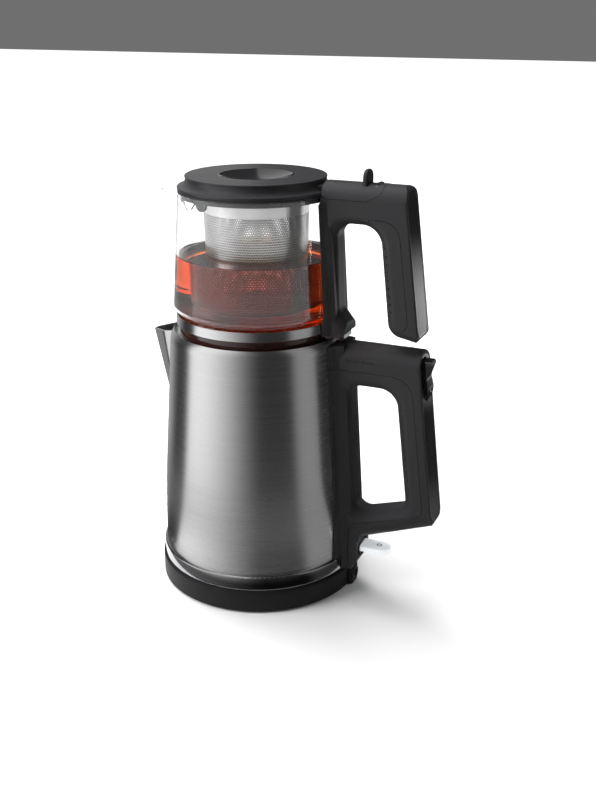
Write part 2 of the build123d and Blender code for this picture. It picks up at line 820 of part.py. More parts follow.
def strip_set(form, points, radii, frame, start, length):
    """Gloss strip, its trim line and the pocket that both lie in."""
    reach = 3 * strip_depth
    trim_out = strip_half_width + trim_gap + trim_width
    grow = trim_gap + trim_width
    panel = strip_zone(frame, strip_half_width, start, length, reach)
    ring = strip_zone(frame, trim_out, start - grow, length + 2 * grow, reach)
    ring -= strip_zone(frame, strip_half_width + trim_gap, start - trim_gap,
                       length + 2 * trim_gap, reach + 1)
    deep, shallow = inset_core(points, radii, strip_depth), inset_core(points, radii, trim_depth)
    pocket = strip_zone(frame, strip_half_width + close, start - close, length + 2 * close, reach)
    pocket = (pocket - inset_core(points, radii, strip_depth + close))
    moat = strip_zone(frame, trim_out + close, start - grow - close,
                      length + 2 * (grow + close), reach)
    pocket += moat - inset_core(points, radii, trim_depth + close)
    panel = (form & panel & inset_core(points, radii, strip_sink)) - deep
    trim = (form & ring) - shallow
    return biggest(panel), biggest(trim), pocket


def face_rod(frame, radius, start, end, down):
    """Cylinder that stands square to a handle's face, between two distances out of it."""
    return frame * Pos((start + end) / 2, 0, -down) * Rot(0, 90, 0) * Cylinder(radius, end - start)


def grip_screws(frame, places):
    """Screws that hold the outer shell to the inner grip, under the strip."""
    head = -strip_depth - 2 * close
    screws = []
    for down in places:
        screw = face_rod(frame, grip_screw_head_radius, head - grip_screw_head_height, head, down)
        screws.append(screw + face_rod(frame, grip_screw_radius, head - grip_screw_length, head, down))
    return Compound(screws)


def grip_screw_holes(frame, places):
    """Clearance for the heads and shanks of the grip screws."""
    head = -strip_depth - 2 * close
    holes = []
    for down in places:
        low = head - grip_screw_head_height - close
        hole = face_rod(frame, grip_screw_head_radius + close, low, 2.0, down)
        hole += face_rod(frame, grip_screw_radius + thread_fit, head - grip_screw_length - 0.5, 0, down)
        holes.append(hole)
    return holes


def cut_dimples(grip, frame, depth_in, edge, rows, first, columns):
    """Shallow round dimples on the inner side of a grip, in columns given along its surface."""
    flat, turn = grip_half_width - edge, edge + dimple_stand
    for number, place in enumerate(columns):
        side = copysign(1, place)
        angle = max(0, abs(place) - flat) / edge
        y = side * (min(abs(place), flat) + turn * sin(angle))
        out = turn * (1 - cos(angle)) - depth_in - dimple_stand
        marks = []
        for row in range(rows):
            down = first + dimple_pitch * (row + 0.5 * (number % 2))
            marks.append(frame * Pos(out, y, -down) * Sphere(dimple_radius))
        grip = grip - marks
    return grip


# ---------------------------------------------------------------- kettle handle pieces
def kettle_frame():
    return face_frame(handle_reach, arm_top, handle_lean)


def trigger_places():
    """Distances down the handle's face: recess top and bottom, pivot and rod."""
    scale = cos(radians(handle_lean))
    pivot = (trigger_pivot_drop - arm_drop) / scale
    rod = (rod_drop - arm_drop) / scale
    return recess_top_gap, recess_top_gap + recess_length, pivot, rod


def trigger_recess():
    top, foot, _, _ = trigger_places()
    half = trigger_half_width + trigger_side_gap
    return strip_zone(kettle_frame(), half, top, foot - top, recess_depth)


def face_pin(frame, radius, half_length, out, down):
    """Cylinder along Y at a place given from a handle's face."""
    return frame * Pos(out, 0, -down) * Rot(90, 0, 0) * Cylinder(radius, 2 * half_length)


def trigger():
    top, foot, pivot, _ = trigger_places()
    points = [
        (-trigger_depth, -top - 1.2),
        (trigger_lip, -top - 2.4),
        (trigger_lip + 0.4, -top - 5.2),
        (2.2, -pivot + 3.2),
        (3.6, -pivot - 5.0),
        (1.8, -foot + 1.2),
        (-trigger_depth, -foot + 1.2),
    ]
    face = outline(points, [0.8, 0.8, 1.0, 6.0, 8.0, 3.0, 1.5])
    body = kettle_frame() * extrude(Plane.XZ * face, amount=trigger_half_width, both=True)
    body &= strip_zone(kettle_frame(), trigger_half_width, top + 1.0, foot - top - 2.4, 20)
    body -= face_pin(kettle_frame(), trigger_pin_radius + pin_fit, 20, -trigger_pivot_inset, pivot)
    return biggest(body - lens_form(close))


def lens_form(grow):
    """Little round window in the trigger's lower half."""
    pivot = trigger_places()[2]
    return face_rod(kettle_frame(), lens_radius + grow, 0.4 - grow, 12.0, pivot + lens_drop)


def trigger_lens():
    _, _, pivot, _ = trigger_places()
    frame = kettle_frame() * Pos(0, 0, -pivot - lens_drop)
    return lens_form(0) & (frame * Box(5.4, 10, 10))


def trigger_pin():
    _, _, pivot, _ = trigger_places()
    half = trigger_half_width + trigger_side_gap + pin_seat
    return face_pin(kettle_frame(), trigger_pin_radius, half, -trigger_pivot_inset, pivot)


def rod_end():
    """X of the latch rod's outer end, just behind the trigger."""
    _, _, _, rod = trigger_places()
    lean = radians(handle_lean)
    back = handle_reach + rod * sin(lean) - trigger_depth / cos(lean)
    return back - rod_radius * tan(lean) - seam


def latch_rod():
    end = rod_end()
    rod = rod_x(rod_radius, end - rod_length, end, 0, rim - rod_drop)
    return fillet(rod.edges().group_by(Axis.X)[0], 0.5)


def rod_bore():
    end = rod_end()
    return rod_x(rod_radius + pin_fit, end - rod_length - 2.5, end + 2, 0, rim - rod_drop)


def switch_level():
    return body_bottom + switch_height


def power_switch():
    level, half = switch_level(), switch_thickness / 2
    plate = Pos(0, 0, level - half) * extrude(
        Pos((switch_pivot_x + switch_reach) / 2, 0)
        * SlotOverall(switch_reach - switch_pivot_x + 2 * switch_half_width - 8, 2 * switch_half_width),
        amount=switch_thickness,
    )
    plate &= block((switch_pivot_x, -20, level - half), (switch_reach, 20, level + half))
    plate = plate & (Pos(switch_reach - switch_half_width, 0, level) * Cylinder(switch_half_width, 20)
                     + block((switch_pivot_x, -20, 0), (switch_reach - switch_half_width, 20, 99)))
    plate = fillet(plate.edges().group_by(Axis.Z)[-1], 1.0)
    plate = fillet(plate.edges().group_by(Axis.Z)[0], 1.0)
    hub = rod_y(switch_hub_radius, switch_half_width, switch_pivot_x, level)
    return biggest(plate + hub - rod_y(switch_pin_radius + pin_fit, 20, switch_pivot_x, level))


def switch_pin():
    half = switch_half_width + seam + pin_seat
    return rod_y(switch_pin_radius, half, switch_pivot_x, switch_level())


def switch_room():
    """Space in the housing for the switch to rock in, and its mouth."""
    level, half = switch_level(), switch_half_width + seam
    swing = (chin_x - switch_pivot_x) * sin(radians(switch_throw)) + switch_thickness / 2
    low = level - switch_hub_radius - 6.0
    hub_top = level + switch_hub_radius + seam
    paddle_top = level + switch_thickness / 2 + seam
    room = block((switch_pivot_x - 3.6, -half, low), (chin_x - 2.0, half, hub_top))
    mouth = block((switch_pivot_x, -half, level - swing - 1.2), (chin_x + 5, half, paddle_top))
    return room + mouth + rod_y(switch_pin_radius + close, half + pin_seat, switch_pivot_x, level)


def bezel_form(grow, start, end):
    """Round-ended block of the bezel round the switch's mouth."""
    level = switch_level() - 0.9
    high = switch_thickness + 2 * bezel_wall + 3.4 + 2 * grow
    wide = 2 * (switch_half_width + seam + bezel_wall + grow)
    face = Pos(0, level) * RectangleRounded(wide, high, high / 2 - 0.6)
    return Pos(start, 0, 0) * extrude(Plane.YZ * face, amount=end - start)


def switch_bezel():
    bezel = bezel_form(0, chin_x - bezel_stand, chin_x + bezel_stand)
    return biggest(bezel - switch_room())


def steam_tube_axis():
    """Ends of the steam tube in the handle's leg."""
    high, low = rim - seam_drop - 2.0, switch_level() + switch_hub_radius + 3.0
    return (body_radius(high) + tube_inset, 0, high), (hole_left_foot - tube_inset + 0.8, 0, low)


def steam_tube(radius=None):
    (top_x, _, top_z), (foot_x, _, foot_z) = steam_tube_axis()
    lean = degrees(atan((foot_x - top_x) / (top_z - foot_z)))
    length = (top_z - foot_z) / cos(radians(lean))
    middle = Pos((top_x + foot_x) / 2, 0, (top_z + foot_z) / 2) * Rot(0, -lean, 0)
    if radius:
        return middle * Cylinder(radius, length)
    tube = Cylinder(tube_radius, length) - Cylinder(tube_radius - tube_wall, length + 1)
    return middle * tube


def vent_slot_boxes(grow, depth):
    """The vent slots on both sides of the handle's arm."""
    level = rim - slot_drop
    slots = []
    for side in (-1, 1):
        for i in range(2):
            x = slot_first_x + i * slot_pitch
            size = (slot_length + 2 * grow, 2 * depth, slot_height + 2 * grow)
            slots.append(Pos(x, side * grip_half_width, level) * Box(*size))
    return slots


def grip_hollow(frame, start, end, places):
    """Hollow inside the inner grip, with the screw bosses left standing."""
    half = grip_half_width - shell_wall - 1.2
    deep, shallow = -grip_depth + shell_wall + 1.5, -seam_inset
    low, high = (deep, -half, -end), (shallow + 1.5, half, -start)
    room = frame * block(low, high)
    for down in places:
        room -= face_rod(frame, grip_screw_radius + 2.2, deep - 5, 10, down)
    return room


def kettle_handle_set():
    """Outer shell, inner grip, strip and trim of the kettle handle."""
    form = kettle_handle_form()
    points, radii = kettle_handle_points()
    frame = kettle_frame()
    face = (arm_top - points[2][1]) / cos(radians(handle_lean))
    length = face - kettle_strip_top_gap - kettle_strip_foot_gap
    strip, trim, pocket = strip_set(form, points, radii, frame, kettle_strip_top_gap, length)
    seam_points, seam_radii = inner_grip_points()
    inner_face = outline(seam_points, seam_radii)
    inner_zone = extrude(Plane.XZ * inner_face, amount=60, both=True)
    outer_zone = extrude(Plane.XZ * offset(inner_face, amount=seam), amount=60, both=True)
    outer = form - outer_zone - pocket - trigger_recess() - rod_bore() - switch_room()
    outer -= steam_tube(tube_radius + close)
    outer = outer - grip_screw_holes(frame, kettle_screw_places)
    pivot = trigger_places()[2]
    half = trigger_half_width + trigger_side_gap + pin_seat
    outer -= face_pin(frame, trigger_pin_radius + close, half, -trigger_pivot_inset, pivot)
    outer = outer - vent_slot_boxes(0.0, slot_depth)
    outer -= bezel_form(close, chin_x - bezel_stand - close, chin_x + 5)
    inner = (form & inner_zone) - switch_room() - trigger_recess()
    inner -= steam_tube(tube_radius + close)
    inner = inner - grip_screw_holes(frame, kettle_screw_places)
    inner -= grip_hollow(frame, 45.0, 122.0, kettle_screw_places)
    inner = cut_dimples(inner, frame, grip_depth, hole_edge, 13, 42.0, kettle_dimple_columns)
    strip -= trigger_recess()
    return biggest(outer), biggest(inner), biggest(strip), trim


def vent_slot_inserts():
    side = grip_half_width - slot_insert_sink
    room = block((0, -side, 0), (handle_reach, side, rim))
    return Compound([slot & room for slot in vent_slot_boxes(-close, slot_depth - close)])


# ---------------------------------------------------------------- teapot
def glass_side(move, floor, top):
    """Side of the glass in radius and height, moved out by a distance."""
    bulge = band_bottom + glass_bulge_height
    foot = glass_foot_radius + move
    wide = glass_bulge_radius + glass_bulge_crest
    taper = (wide - glass_rim_radius) / (glass_rim - bulge)
    points = [
        (0, glass_bottom + floor),
        (foot, glass_bottom + floor),
        (foot, band_top + 0.6),
        (wide + move, bulge),
        (glass_rim_radius + move - (top - glass_rim) * taper, top),
        (0, top),
    ]
    return points, [0, 1.0, 1.0, 4.0, 0, 0]


def beak_form(move):
    """Spout of the glass, a cone that leans out of the wall."""
    sections = []
    for drop, middle, radius in beak_sections:
        sections.append(Pos(middle, 0, glass_rim - drop) * Circle(radius + move))
    return loft(sections)


def glass_jug():
    form = turned(*glass_side(0, 0, glass_rim)) + beak_form(0)
    form -= turned(*glass_side(-glass_wall, glass_floor, glass_rim + 12))
    form -= beak_form(-glass_wall)
    form -= disc(glass_rim_radius + 0.8, glass_rim, glass_rim + 30)
    lip = glass_rim + beak_lift
    form -= block((-120, -40, lip), (-40, 40, lip + 30))
    wedge = Pos(beak_mouth_x, 0, lip) * Rot(0, -beak_slope, 0) * Pos(-30, 0, 15) * Box(60, 80, 30)
    return biggest(form - wedge)


def pot_steel_band():
    points = [
        (band_foot_radius - band_wall, band_bottom),
        (band_foot_radius, band_bottom),
        (band_top_radius, band_top),
        (band_top_radius - band_wall, band_top),
    ]
    return turned(points, 0.3)


def foot_screw_spots():
    return [(foot_screw_x, -foot_screw_y), (foot_screw_x, foot_screw_y)]


def pot_base_ring():
    inner = base_ring_radius - base_ring_wall
    lip, step = band_foot_radius - 0.6, band_foot_radius - band_wall - 0.4
    points = [
        (inner, pot_bottom),
        (base_ring_radius, pot_bottom),
        (base_ring_radius, band_bottom - 0.9),
        (lip, band_bottom - 0.9),
        (lip, band_bottom - close),
        (step, band_bottom - close),
        (step, glass_bottom - close),
        (inner, glass_bottom - close),
    ]
    top = pot_foot - close
    underside = top - tongue_thickness
    tongue = block((inner + 1, -tongue_half_width, underside), (tongue_reach, tongue_half_width, top))
    tongue = fillet(tongue.edges().filter_by(Axis.Z).group_by(Axis.X)[-1], 3.0)
    ring = turned(points) + tongue
    for x, y in foot_screw_spots():
        ring -= disc(screw_head_radius + close, 0, underside + screw_head_height + close, x, y)
        ring -= disc(screw_radius + thread_fit, 0, pot_foot + 5, x, y)
    return biggest(ring)


def pot_foot_screws():
    low = pot_foot - close - tongue_thickness
    screws = []
    for x, y in foot_screw_spots():
        screws.append(
            disc(screw_head_radius, low, low + screw_head_height, x, y)
            + disc(screw_radius, low, low + screw_length, x, y)
        )
    return Compound(screws)


# ---------------------------------------------------------------- strainer
def collar_inner():
    """Inner radius of the strainer's collar."""
    return glass_rim_radius - glass_wall - 0.4 - collar_wall


def strainer_collar():
    outer, low = glass_rim_radius - glass_wall - 0.4, glass_rim - collar_skirt_height
    points = [
        (basket_top_radius + close, low),
        (outer, low),
        (outer, glass_rim + close),
        (glass_rim_radius - 0.1, glass_rim + close),
        (glass_rim_radius - 0.1, collar_level),
        (collar_inner(), collar_level),
        (collar_inner(), low + collar_floor),
        (basket_top_radius + close, low + collar_floor),
    ]
    collar = turned(points)
    for angle in lug_angles:
        lug = Pos(outer - lug_thickness / 2, 0, low) * Rot(0, 90, 0) * Cylinder(lug_radius, lug_thickness)
        collar += Rot(0, 0, angle) * (lug & block((0, -10, 0), (99, 10, low + 1)))
    return biggest(collar)


def strainer_basket():
    foot = glass_bottom + glass_floor + basket_foot_lift
    flange = glass_rim - collar_skirt_height + collar_floor + close
    top, low = basket_top_radius, basket_foot_radius
    points = [
        (0, foot),
        (low, foot),
        (top, flange),
        (top + basket_flange, flange),
        (top + basket_flange, flange + basket_wall),
        (top - basket_wall, flange + basket_wall),
        (low - basket_wall, foot + basket_wall),
        (0, foot + basket_wall),
    ]
    return turned(points, [0, 2.0, 0, 0, 0, 0, 1.4, 0])


# ---------------------------------------------------------------- pot handle form
def pot_frame():
    return face_frame(pot_handle_reach, pot_top, pot_handle_lean)


def pot_handle_points():
    """Corners and roundings of the pot handle and lid arm seen from the side."""
    lean = tan(radians(pot_handle_lean))
    arch = pot_top - pot_arch_drop
    inner_top = pot_handle_reach - pot_grip_depth + pot_arch_drop * lean
    foot_x = pot_handle_reach + pot_handle_drop * lean
    turns = pot_arch_outer_turn + pot_arch_inner_turn
    fit = min(1.0, (1 - pot_arch_flat) * (inner_top - pot_leg_x) / turns)
    points = [
        (45, pot_top),
        (pot_handle_reach, pot_top),
        (foot_x, pot_foot),
        (foot_x - pot_grip_depth - 2.0, pot_foot + 5.0),
        (inner_top, arch),
        (pot_leg_x, arch),
        (pot_leg_foot_x, pot_foot + pot_foot_height),
        (pot_foot_x, pot_foot + pot_foot_height / 2),
        (pot_foot_x - 1.5, pot_foot),
        (45, pot_foot),
    ]
    arch_turns = [pot_arch_outer_turn * fit, pot_arch_inner_turn * fit]
    return points, [0, 5.0, 5.0, 12.0, *arch_turns, 9.0, 4.0, 3.0, 0]


def pot_grip_points():
    """Corners and roundings of the seam round the pot handle's inner grip."""
    lean = tan(radians(pot_handle_lean))
    top, low = pot_top - pot_arch_drop + 5.0, pot_foot + 9.0
    reach = pot_handle_reach - seam_inset
    start = pot_handle_reach - pot_grip_depth - pot_seam_reach
    points = [
        (start, top),
        (reach + (pot_top - top) * lean, top),
        (reach + (pot_top - low) * lean, low),
        (start, low),
    ]
    return points, [0, 14.0, 8.0, 0]


def pot_flare():
    """Flare that spreads the pot handle's leg along the glass."""
    low, high = pot_foot, glass_rim - 1.0
    bulge = band_bottom + glass_bulge_height
    sections = [
        flare_section(low, band_foot_radius, pot_flare_half_width, pot_flare_reach),
        flare_section(bulge, glass_bulge_radius, pot_flare_half_width, pot_flare_reach),
        flare_section(high, glass_rim_radius, pot_flare_half_width - 1.5, pot_flare_reach),
    ]
    form = loft(sections, ruled=True)
    return form & arch_prism(high, pot_flare_half_width + 2, 12.0, 30, 120, 0)


def pot_handle_form():
    """Outer form of the pot handle with the lid arm still on it."""
    points, radii = pot_handle_points()
    sharp = [0 if i in (2, 7, 8) else turn for i, turn in enumerate(radii)]
    form = side_prism(points, sharp, grip_half_width)
    lean = tan(radians(pot_handle_lean))
    edges = []
    for edge in form.faces().filter_by(Axis.Y).edges():
        at = edge @ 0.5
        face_x = pot_handle_reach + (pot_top - at.Z) * lean
        clamp = at.X < pot_foot_x + 1 and at.Z < pot_foot + pot_foot_height / 2
        if at.Z < pot_top - 15 and 55 < at.X < face_x - 3 and not clamp:
            edges.append(edge)
    form = fillet(edges, pot_hole_edge) & side_prism(points, radii, grip_half_width + 1)
    bounds = crown_prism(pot_handle_reach, pot_top, pot_handle_lean, 170)
    form &= bounds & arch_prism(pot_top, grip_half_width, pot_top_edge, 0, 200, 0)
    form += pot_flare()
    form -= turned(*glass_side(close, -1, glass_rim))
    form -= disc(glass_rim_radius + 0.5, glass_rim - 0.1, lid_bottom)
    form -= disc(band_foot_radius + close, pot_foot - 1, band_bottom + glass_bulge_height)
    return biggest(form)


# ---------------------------------------------------------------- lid arm and hinge
def hinge_level():
    return pot_top - hinge_drop


def arm_zone(grow):
    """Room of the lid arm, grown by a gap."""
    reach, level = hinge_radius + grow, hinge_level()
    slope = radians(arm_slope)
    touch_x, touch_z = hinge_x + reach * sin(slope), level - reach * cos(slope)
    low, inner, sill = glass_rim - grow, glass_rim_radius + 0.9 - grow, lid_bottom - grow
    points = [
        (20, pot_top + 20),
        (20, sill),
        (inner, sill),
        (inner, low),
        (touch_x - (touch_z - low) / tan(slope), low),
        (touch_x, touch_z),
        (hinge_x, level),
        (hinge_x, pot_top + 20),
    ]
    return side_prism(points, 0.0, 30) + rod_y(reach, 30, hinge_x, level)


def knuckle():
    """Middle knuckle of the handle with the web that carries it."""
    level, half = hinge_level(), knuckle_half_width
    foot = level - hinge_radius - 1.5
    form = rod_y(knuckle_radius, half, hinge_x, level)
    form += block((hinge_x - knuckle_radius, -half, foot - 2), (hinge_x, half, level))
    return form + block((hinge_x, -half, foot), (hinge_x + hinge_radius + 1, half, pot_top))


def lid_hinge_pin():
    return rod_y(hinge_pin_radius, hinge_pin_half_length, hinge_x, hinge_level())


def paddle_plate(grow, gap):
    """Upright plate of the thumb paddle."""
    half = paddle_half_width + grow
    points = [
        (-half, pot_top - paddle_root - grow),
        (half, pot_top - paddle_root - grow),
        (half, pot_top + paddle_rise + grow),
        (-half, pot_top + paddle_rise + grow),
    ]
    face = Plane.YZ * outline(points, [0, 0, 6.0, 6.0])
    start = paddle_x - paddle_thickness / 2 - grow
    return Pos(start, 0, 0) * extrude(face, amount=paddle_thickness + 2 * grow + gap)


def thumb_paddle():
    plate = paddle_plate(0, 0)
    return fillet(plate.faces().filter_by(Axis.X).edges().group_by(Axis.Z)[-1], 1.2)


def lid_arm(form):
    """Arm that carries the lid, flush with the pot handle's top."""
    arm = form & arm_zone(0)
    low, high, side = glass_rim - 10, pot_top + 10, 2 * grip_half_width
    front = block((arm_notch_x, -side, low), (pot_handle_reach, side, high))
    half = arm_root_half_width
    root = block((lid_neck_radius + 0.2, -half, low), (arm_notch_x + 1, half, arm_root_top()))
    arm &= front + root
    half = knuckle_half_width + seam
    arm -= block((hinge_x - knuckle_radius - seam - close, -half, low), (pot_handle_reach, half, high))
    arm -= rod_y(hinge_pin_radius + pin_fit, hinge_pin_half_length + 0.1, hinge_x, hinge_level())
    arm -= paddle_plate(close, 0.8)
    arm -= turned(*cap_side(close))
    for x, y in arm_screw_spots():
        arm -= disc(grip_screw_radius + thread_fit, low, arm_root_top() - 0.6, x, y)
    return biggest(arm)


def arm_root_top():
    return pot_top - 3.2


def arm_screw_spots():
    return [(arm_screw_x, -arm_screw_y), (arm_screw_x, arm_screw_y)]


def pot_handle_set():
    """Shell, inner grip, strip and trim of the pot handle, and the lid arm."""
    form = pot_handle_form()
    points, radii = pot_handle_points()
    frame = pot_frame()
    face = (pot_top - pot_foot) / cos(radians(pot_handle_lean))
    length = face - pot_strip_top_gap - pot_strip_foot_gap
    strip, trim, pocket = strip_set(form, points, radii, frame, pot_strip_top_gap, length)
    arm = lid_arm(form)
    seam_points, seam_radii = pot_grip_points()
    inner_face = outline(seam_points, seam_radii)
    inner_zone = extrude(Plane.XZ * inner_face, amount=60, both=True)
    outer_zone = extrude(Plane.XZ * offset(inner_face, amount=seam), amount=60, both=True)
    outer = form - outer_zone - pocket - arm_zone(seam) + knuckle()
    outer -= rod_y(hinge_pin_radius + thread_fit, 20, hinge_x, hinge_level())
    outer = outer - grip_screw_holes(frame, pot_screw_places)
    for x, y in foot_screw_spots():
        outer -= disc(screw_radius + thread_fit, pot_foot - 1, pot_foot + screw_length, x, y)
    inner = (form & inner_zone) - grip_screw_holes(frame, pot_screw_places)
    inner = cut_dimples(inner, frame, pot_grip_depth, pot_hole_edge, 9, 41.0, pot_dimple_columns)
    return biggest(outer), biggest(inner), strip, trim, arm


# ---------------------------------------------------------------- pot lid
def cap_side(grow):
    """Solid outer side of the lid in radius and height."""
    points = [
        (0, lid_bottom - grow),
        (lid_flange_radius + grow, lid_bottom - grow),
        (lid_flange_radius + grow, lid_bottom + lid_flange_height + grow),
        (lid_neck_radius + grow, lid_bottom + lid_flange_height + 0.8 + grow),
        (lid_neck_radius + grow, lid_top - 1.3 - grow),
        (lid_disc_radius + grow, lid_top - 1.1 - grow),
        (lid_disc_radius + grow, lid_top + grow),
        (0, lid_top + grow),
    ]
    return points, [0, 0.4, 0.8, lid_cove_turn - grow, 0, 0.2, 0.5, 0]


def lid_boss_spots():
    spots = []
    for i in range(4):
        angle = radians(45 + 90 * i)
        spots.append((lid_boss_circle * cos(angle), lid_boss_circle * sin(angle)))
    return spots


def knob_ball(grow):
    """Ball that the knob's dish is part of, grown by a wall."""
    lip = knob_radius - knob_land
    ball = (lip**2 + knob_depth**2) / (2 * knob_depth)
    return Pos(0, 0, lid_top - knob_depth + ball) * Sphere(ball + grow)


def lid_cap():
    cap = turned(*cap_side(0))
    inner = lid_neck_radius - lid_side_wall
    ceiling = lid_top - lid_wall
    hollow = [(0, lid_bottom - 1), (inner, lid_bottom - 1), (inner, ceiling), (0, ceiling)]
    cap -= turned(hollow, [0, 0, 2.0, 0])
    seat = knob_wall + close
    cap += disc(knob_radius + close + lid_wall, lid_bottom, ceiling + 0.2) & knob_ball(seat + lid_wall)
    cap -= disc(knob_radius + close, lid_bottom, lid_top + 1) & knob_ball(seat)
    cap -= disc(knob_spigot_radius + close, 0, lid_top + 1)
    for x, y in lid_boss_spots():
        cap += disc(lid_boss_radius, lid_bottom, ceiling, x, y)
        cap -= disc(grip_screw_radius + thread_fit, 0, lid_bottom + 6.0, x, y)
    for x, y in arm_screw_spots():
        cap -= disc(grip_screw_head_radius + close, 0, lid_bottom + grip_screw_head_height, x, y)
        cap -= disc(grip_screw_radius + thread_fit, 0, arm_root_top(), x, y)
    return biggest(cap)


def lid_knob():
    """Dished knob that lies in the lid, with a spigot through the lid's wall."""
    knob = (disc(knob_radius, lid_bottom, lid_top) & knob_ball(knob_wall)) - knob_ball(0)
    foot = lid_top - knob_depth - knob_wall
    return knob + disc(knob_spigot_radius, foot - lid_wall, foot + knob_wall / 2)


def lid_plug():
    outer = collar_inner() - plug_clearance
    plate_low, plate_top = lid_bottom - close - 1.5, lid_bottom - close
    low = lid_bottom - plug_height
    plug = disc(outer, plate_low, plate_top) + pipe_ring(outer, outer - plug_wall, low, plate_low + 0.1)
    for i in range(rib_count):
        rib = block((8, -0.8, low + 0.4), (outer - 1, 0.8, plate_low + 0.1))
        plug += Rot(0, 0, 22.5 + 360 / rib_count * i) * rib
    groove = plate_low + 0.2
    plug -= pipe_ring(outer + 1, outer - 0.8, groove, groove + lid_seal_height + 2 * close)
    for x, y in lid_boss_spots():
        plug -= disc(grip_screw_radius + thread_fit, 0, lid_bottom + 1, x, y)
        plug -= disc(grip_screw_head_radius + close, 0, plate_low, x, y)
    return biggest(plug)


def lid_seal():
    outer = collar_inner() - plug_clearance
    low = lid_bottom - close - 1.3 + close
    return pipe_ring(outer + 0.4, outer - 0.8 + close, low, low + lid_seal_height)


def lid_screws():
    """Four screws under the plug and two that hold the arm."""
    screws = []
    low = lid_bottom - close - 1.5 - grip_screw_head_height
    for x, y in lid_boss_spots():
        screw = disc(grip_screw_head_radius, low, low + grip_screw_head_height - close, x, y)
        screws.append(screw + disc(grip_screw_radius, low, lid_bottom + 5.5, x, y))
    for x, y in arm_screw_spots():
        head = lid_bottom + 0.1
        screw = disc(grip_screw_head_radius, head, head + grip_screw_head_height - 0.15, x, y)
        screws.append(screw + disc(grip_screw_radius, head, arm_root_top() - 0.7, x, y))
    return Compound(screws)


nodes = {}


def write_parts():
    """Every node as one STEP file."""
    os.makedirs("parts", exist_ok=True)
    for name, shape in nodes.items():
        shape.label = name
        export_step(shape, os.path.join("parts", name + ".step"))


def main():
    kettle_names = ("kettle_handle_shell", "kettle_handle_grip", "kettle_strip", "kettle_strip_trim")
    nodes.update(zip(kettle_names, kettle_handle_set()))
    pot_names = ("pot_handle_shell", "pot_handle_grip", "pot_strip", "pot_strip_trim", "lid_arm")
    nodes.update(zip(pot_names, pot_handle_set()))
    nodes["kettle_handle_screws"] = grip_screws(kettle_frame(), kettle_screw_places)
    nodes["pot_handle_screws"] = grip_screws(pot_frame(), pot_screw_places)
    for make in (base_housing, base_bottom_plate, foot_ring, base_screws, connector_post,
                 contact_sleeve, contact_pin, cord_bush, kettle_socket, kettle_bottom_ring,
                 kettle_under_plate, heater_plate, heating_element, control_block, kettle_body,
                 kettle_spout, spout_filter, kettle_lid, kettle_lid_seal, trigger, trigger_lens,
                 trigger_pin, latch_rod, power_switch, switch_pin, switch_bezel, steam_tube,
                 vent_slot_inserts, glass_jug, pot_steel_band, pot_base_ring, pot_foot_screws,
                 strainer_collar, strainer_basket, lid_hinge_pin, thumb_paddle, lid_cap,
                 lid_knob, lid_plug, lid_seal, lid_screws):
        nodes[make.__name__] = make()
    write_parts()


if __name__ == "__main__":
    main()
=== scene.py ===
import bpy
import math
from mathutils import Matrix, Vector


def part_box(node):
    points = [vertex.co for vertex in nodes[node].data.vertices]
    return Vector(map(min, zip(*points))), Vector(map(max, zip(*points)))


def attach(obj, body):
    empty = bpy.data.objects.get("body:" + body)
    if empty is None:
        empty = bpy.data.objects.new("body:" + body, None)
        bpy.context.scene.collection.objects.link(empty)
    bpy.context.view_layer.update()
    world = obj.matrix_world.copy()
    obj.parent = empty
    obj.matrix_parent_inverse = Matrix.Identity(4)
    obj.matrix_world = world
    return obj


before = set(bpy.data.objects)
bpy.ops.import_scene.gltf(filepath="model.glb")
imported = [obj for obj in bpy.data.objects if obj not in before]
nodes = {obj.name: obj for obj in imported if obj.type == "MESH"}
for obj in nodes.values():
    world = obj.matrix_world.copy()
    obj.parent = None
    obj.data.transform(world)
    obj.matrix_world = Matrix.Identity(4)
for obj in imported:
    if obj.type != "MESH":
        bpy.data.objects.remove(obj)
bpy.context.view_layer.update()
print("frame loaded,", len(nodes), "parts")


# helpers for node trees

def addNode(tree, kind, place=(0, 0), **settings):
    node = tree.nodes.new(kind)
    node.location = place
    for name, value in settings.items():
        setattr(node, name, value)
    return node


def link(tree, source, target):
    tree.links.new(source, target)


def newGroup(name, inputs, outputs):
    group = bpy.data.node_groups.new(name, "ShaderNodeTree")
    for label, kind, value in inputs:
        socket = group.interface.new_socket(label, in_out="INPUT", socket_type="NodeSocket" + kind)
        socket.default_value = value
    for label, kind in outputs:
        group.interface.new_socket(label, in_out="OUTPUT", socket_type="NodeSocket" + kind)
    start = addNode(group, "NodeGroupInput", (-900, 0))
    end = addNode(group, "NodeGroupOutput", (500, 0))
    return group, start, end


def mathNode(tree, operation, a, b, place=(0, 0), clamp=False):
    node = addNode(tree, "ShaderNodeMath", place, operation=operation, use_clamp=clamp)
    for socket, value in zip(node.inputs, (a, b)):
        if isinstance(value, (int, float)):
            socket.default_value = value
        elif value is not None:
            link(tree, value, socket)
    return node.outputs[0]


# brush lines that run level round a part: long across, very thin in height, with slower bands behind them
brushShape = {"lineDetail": 3.0, "bandDetail": 2.0, "bandStretch": 0.085}


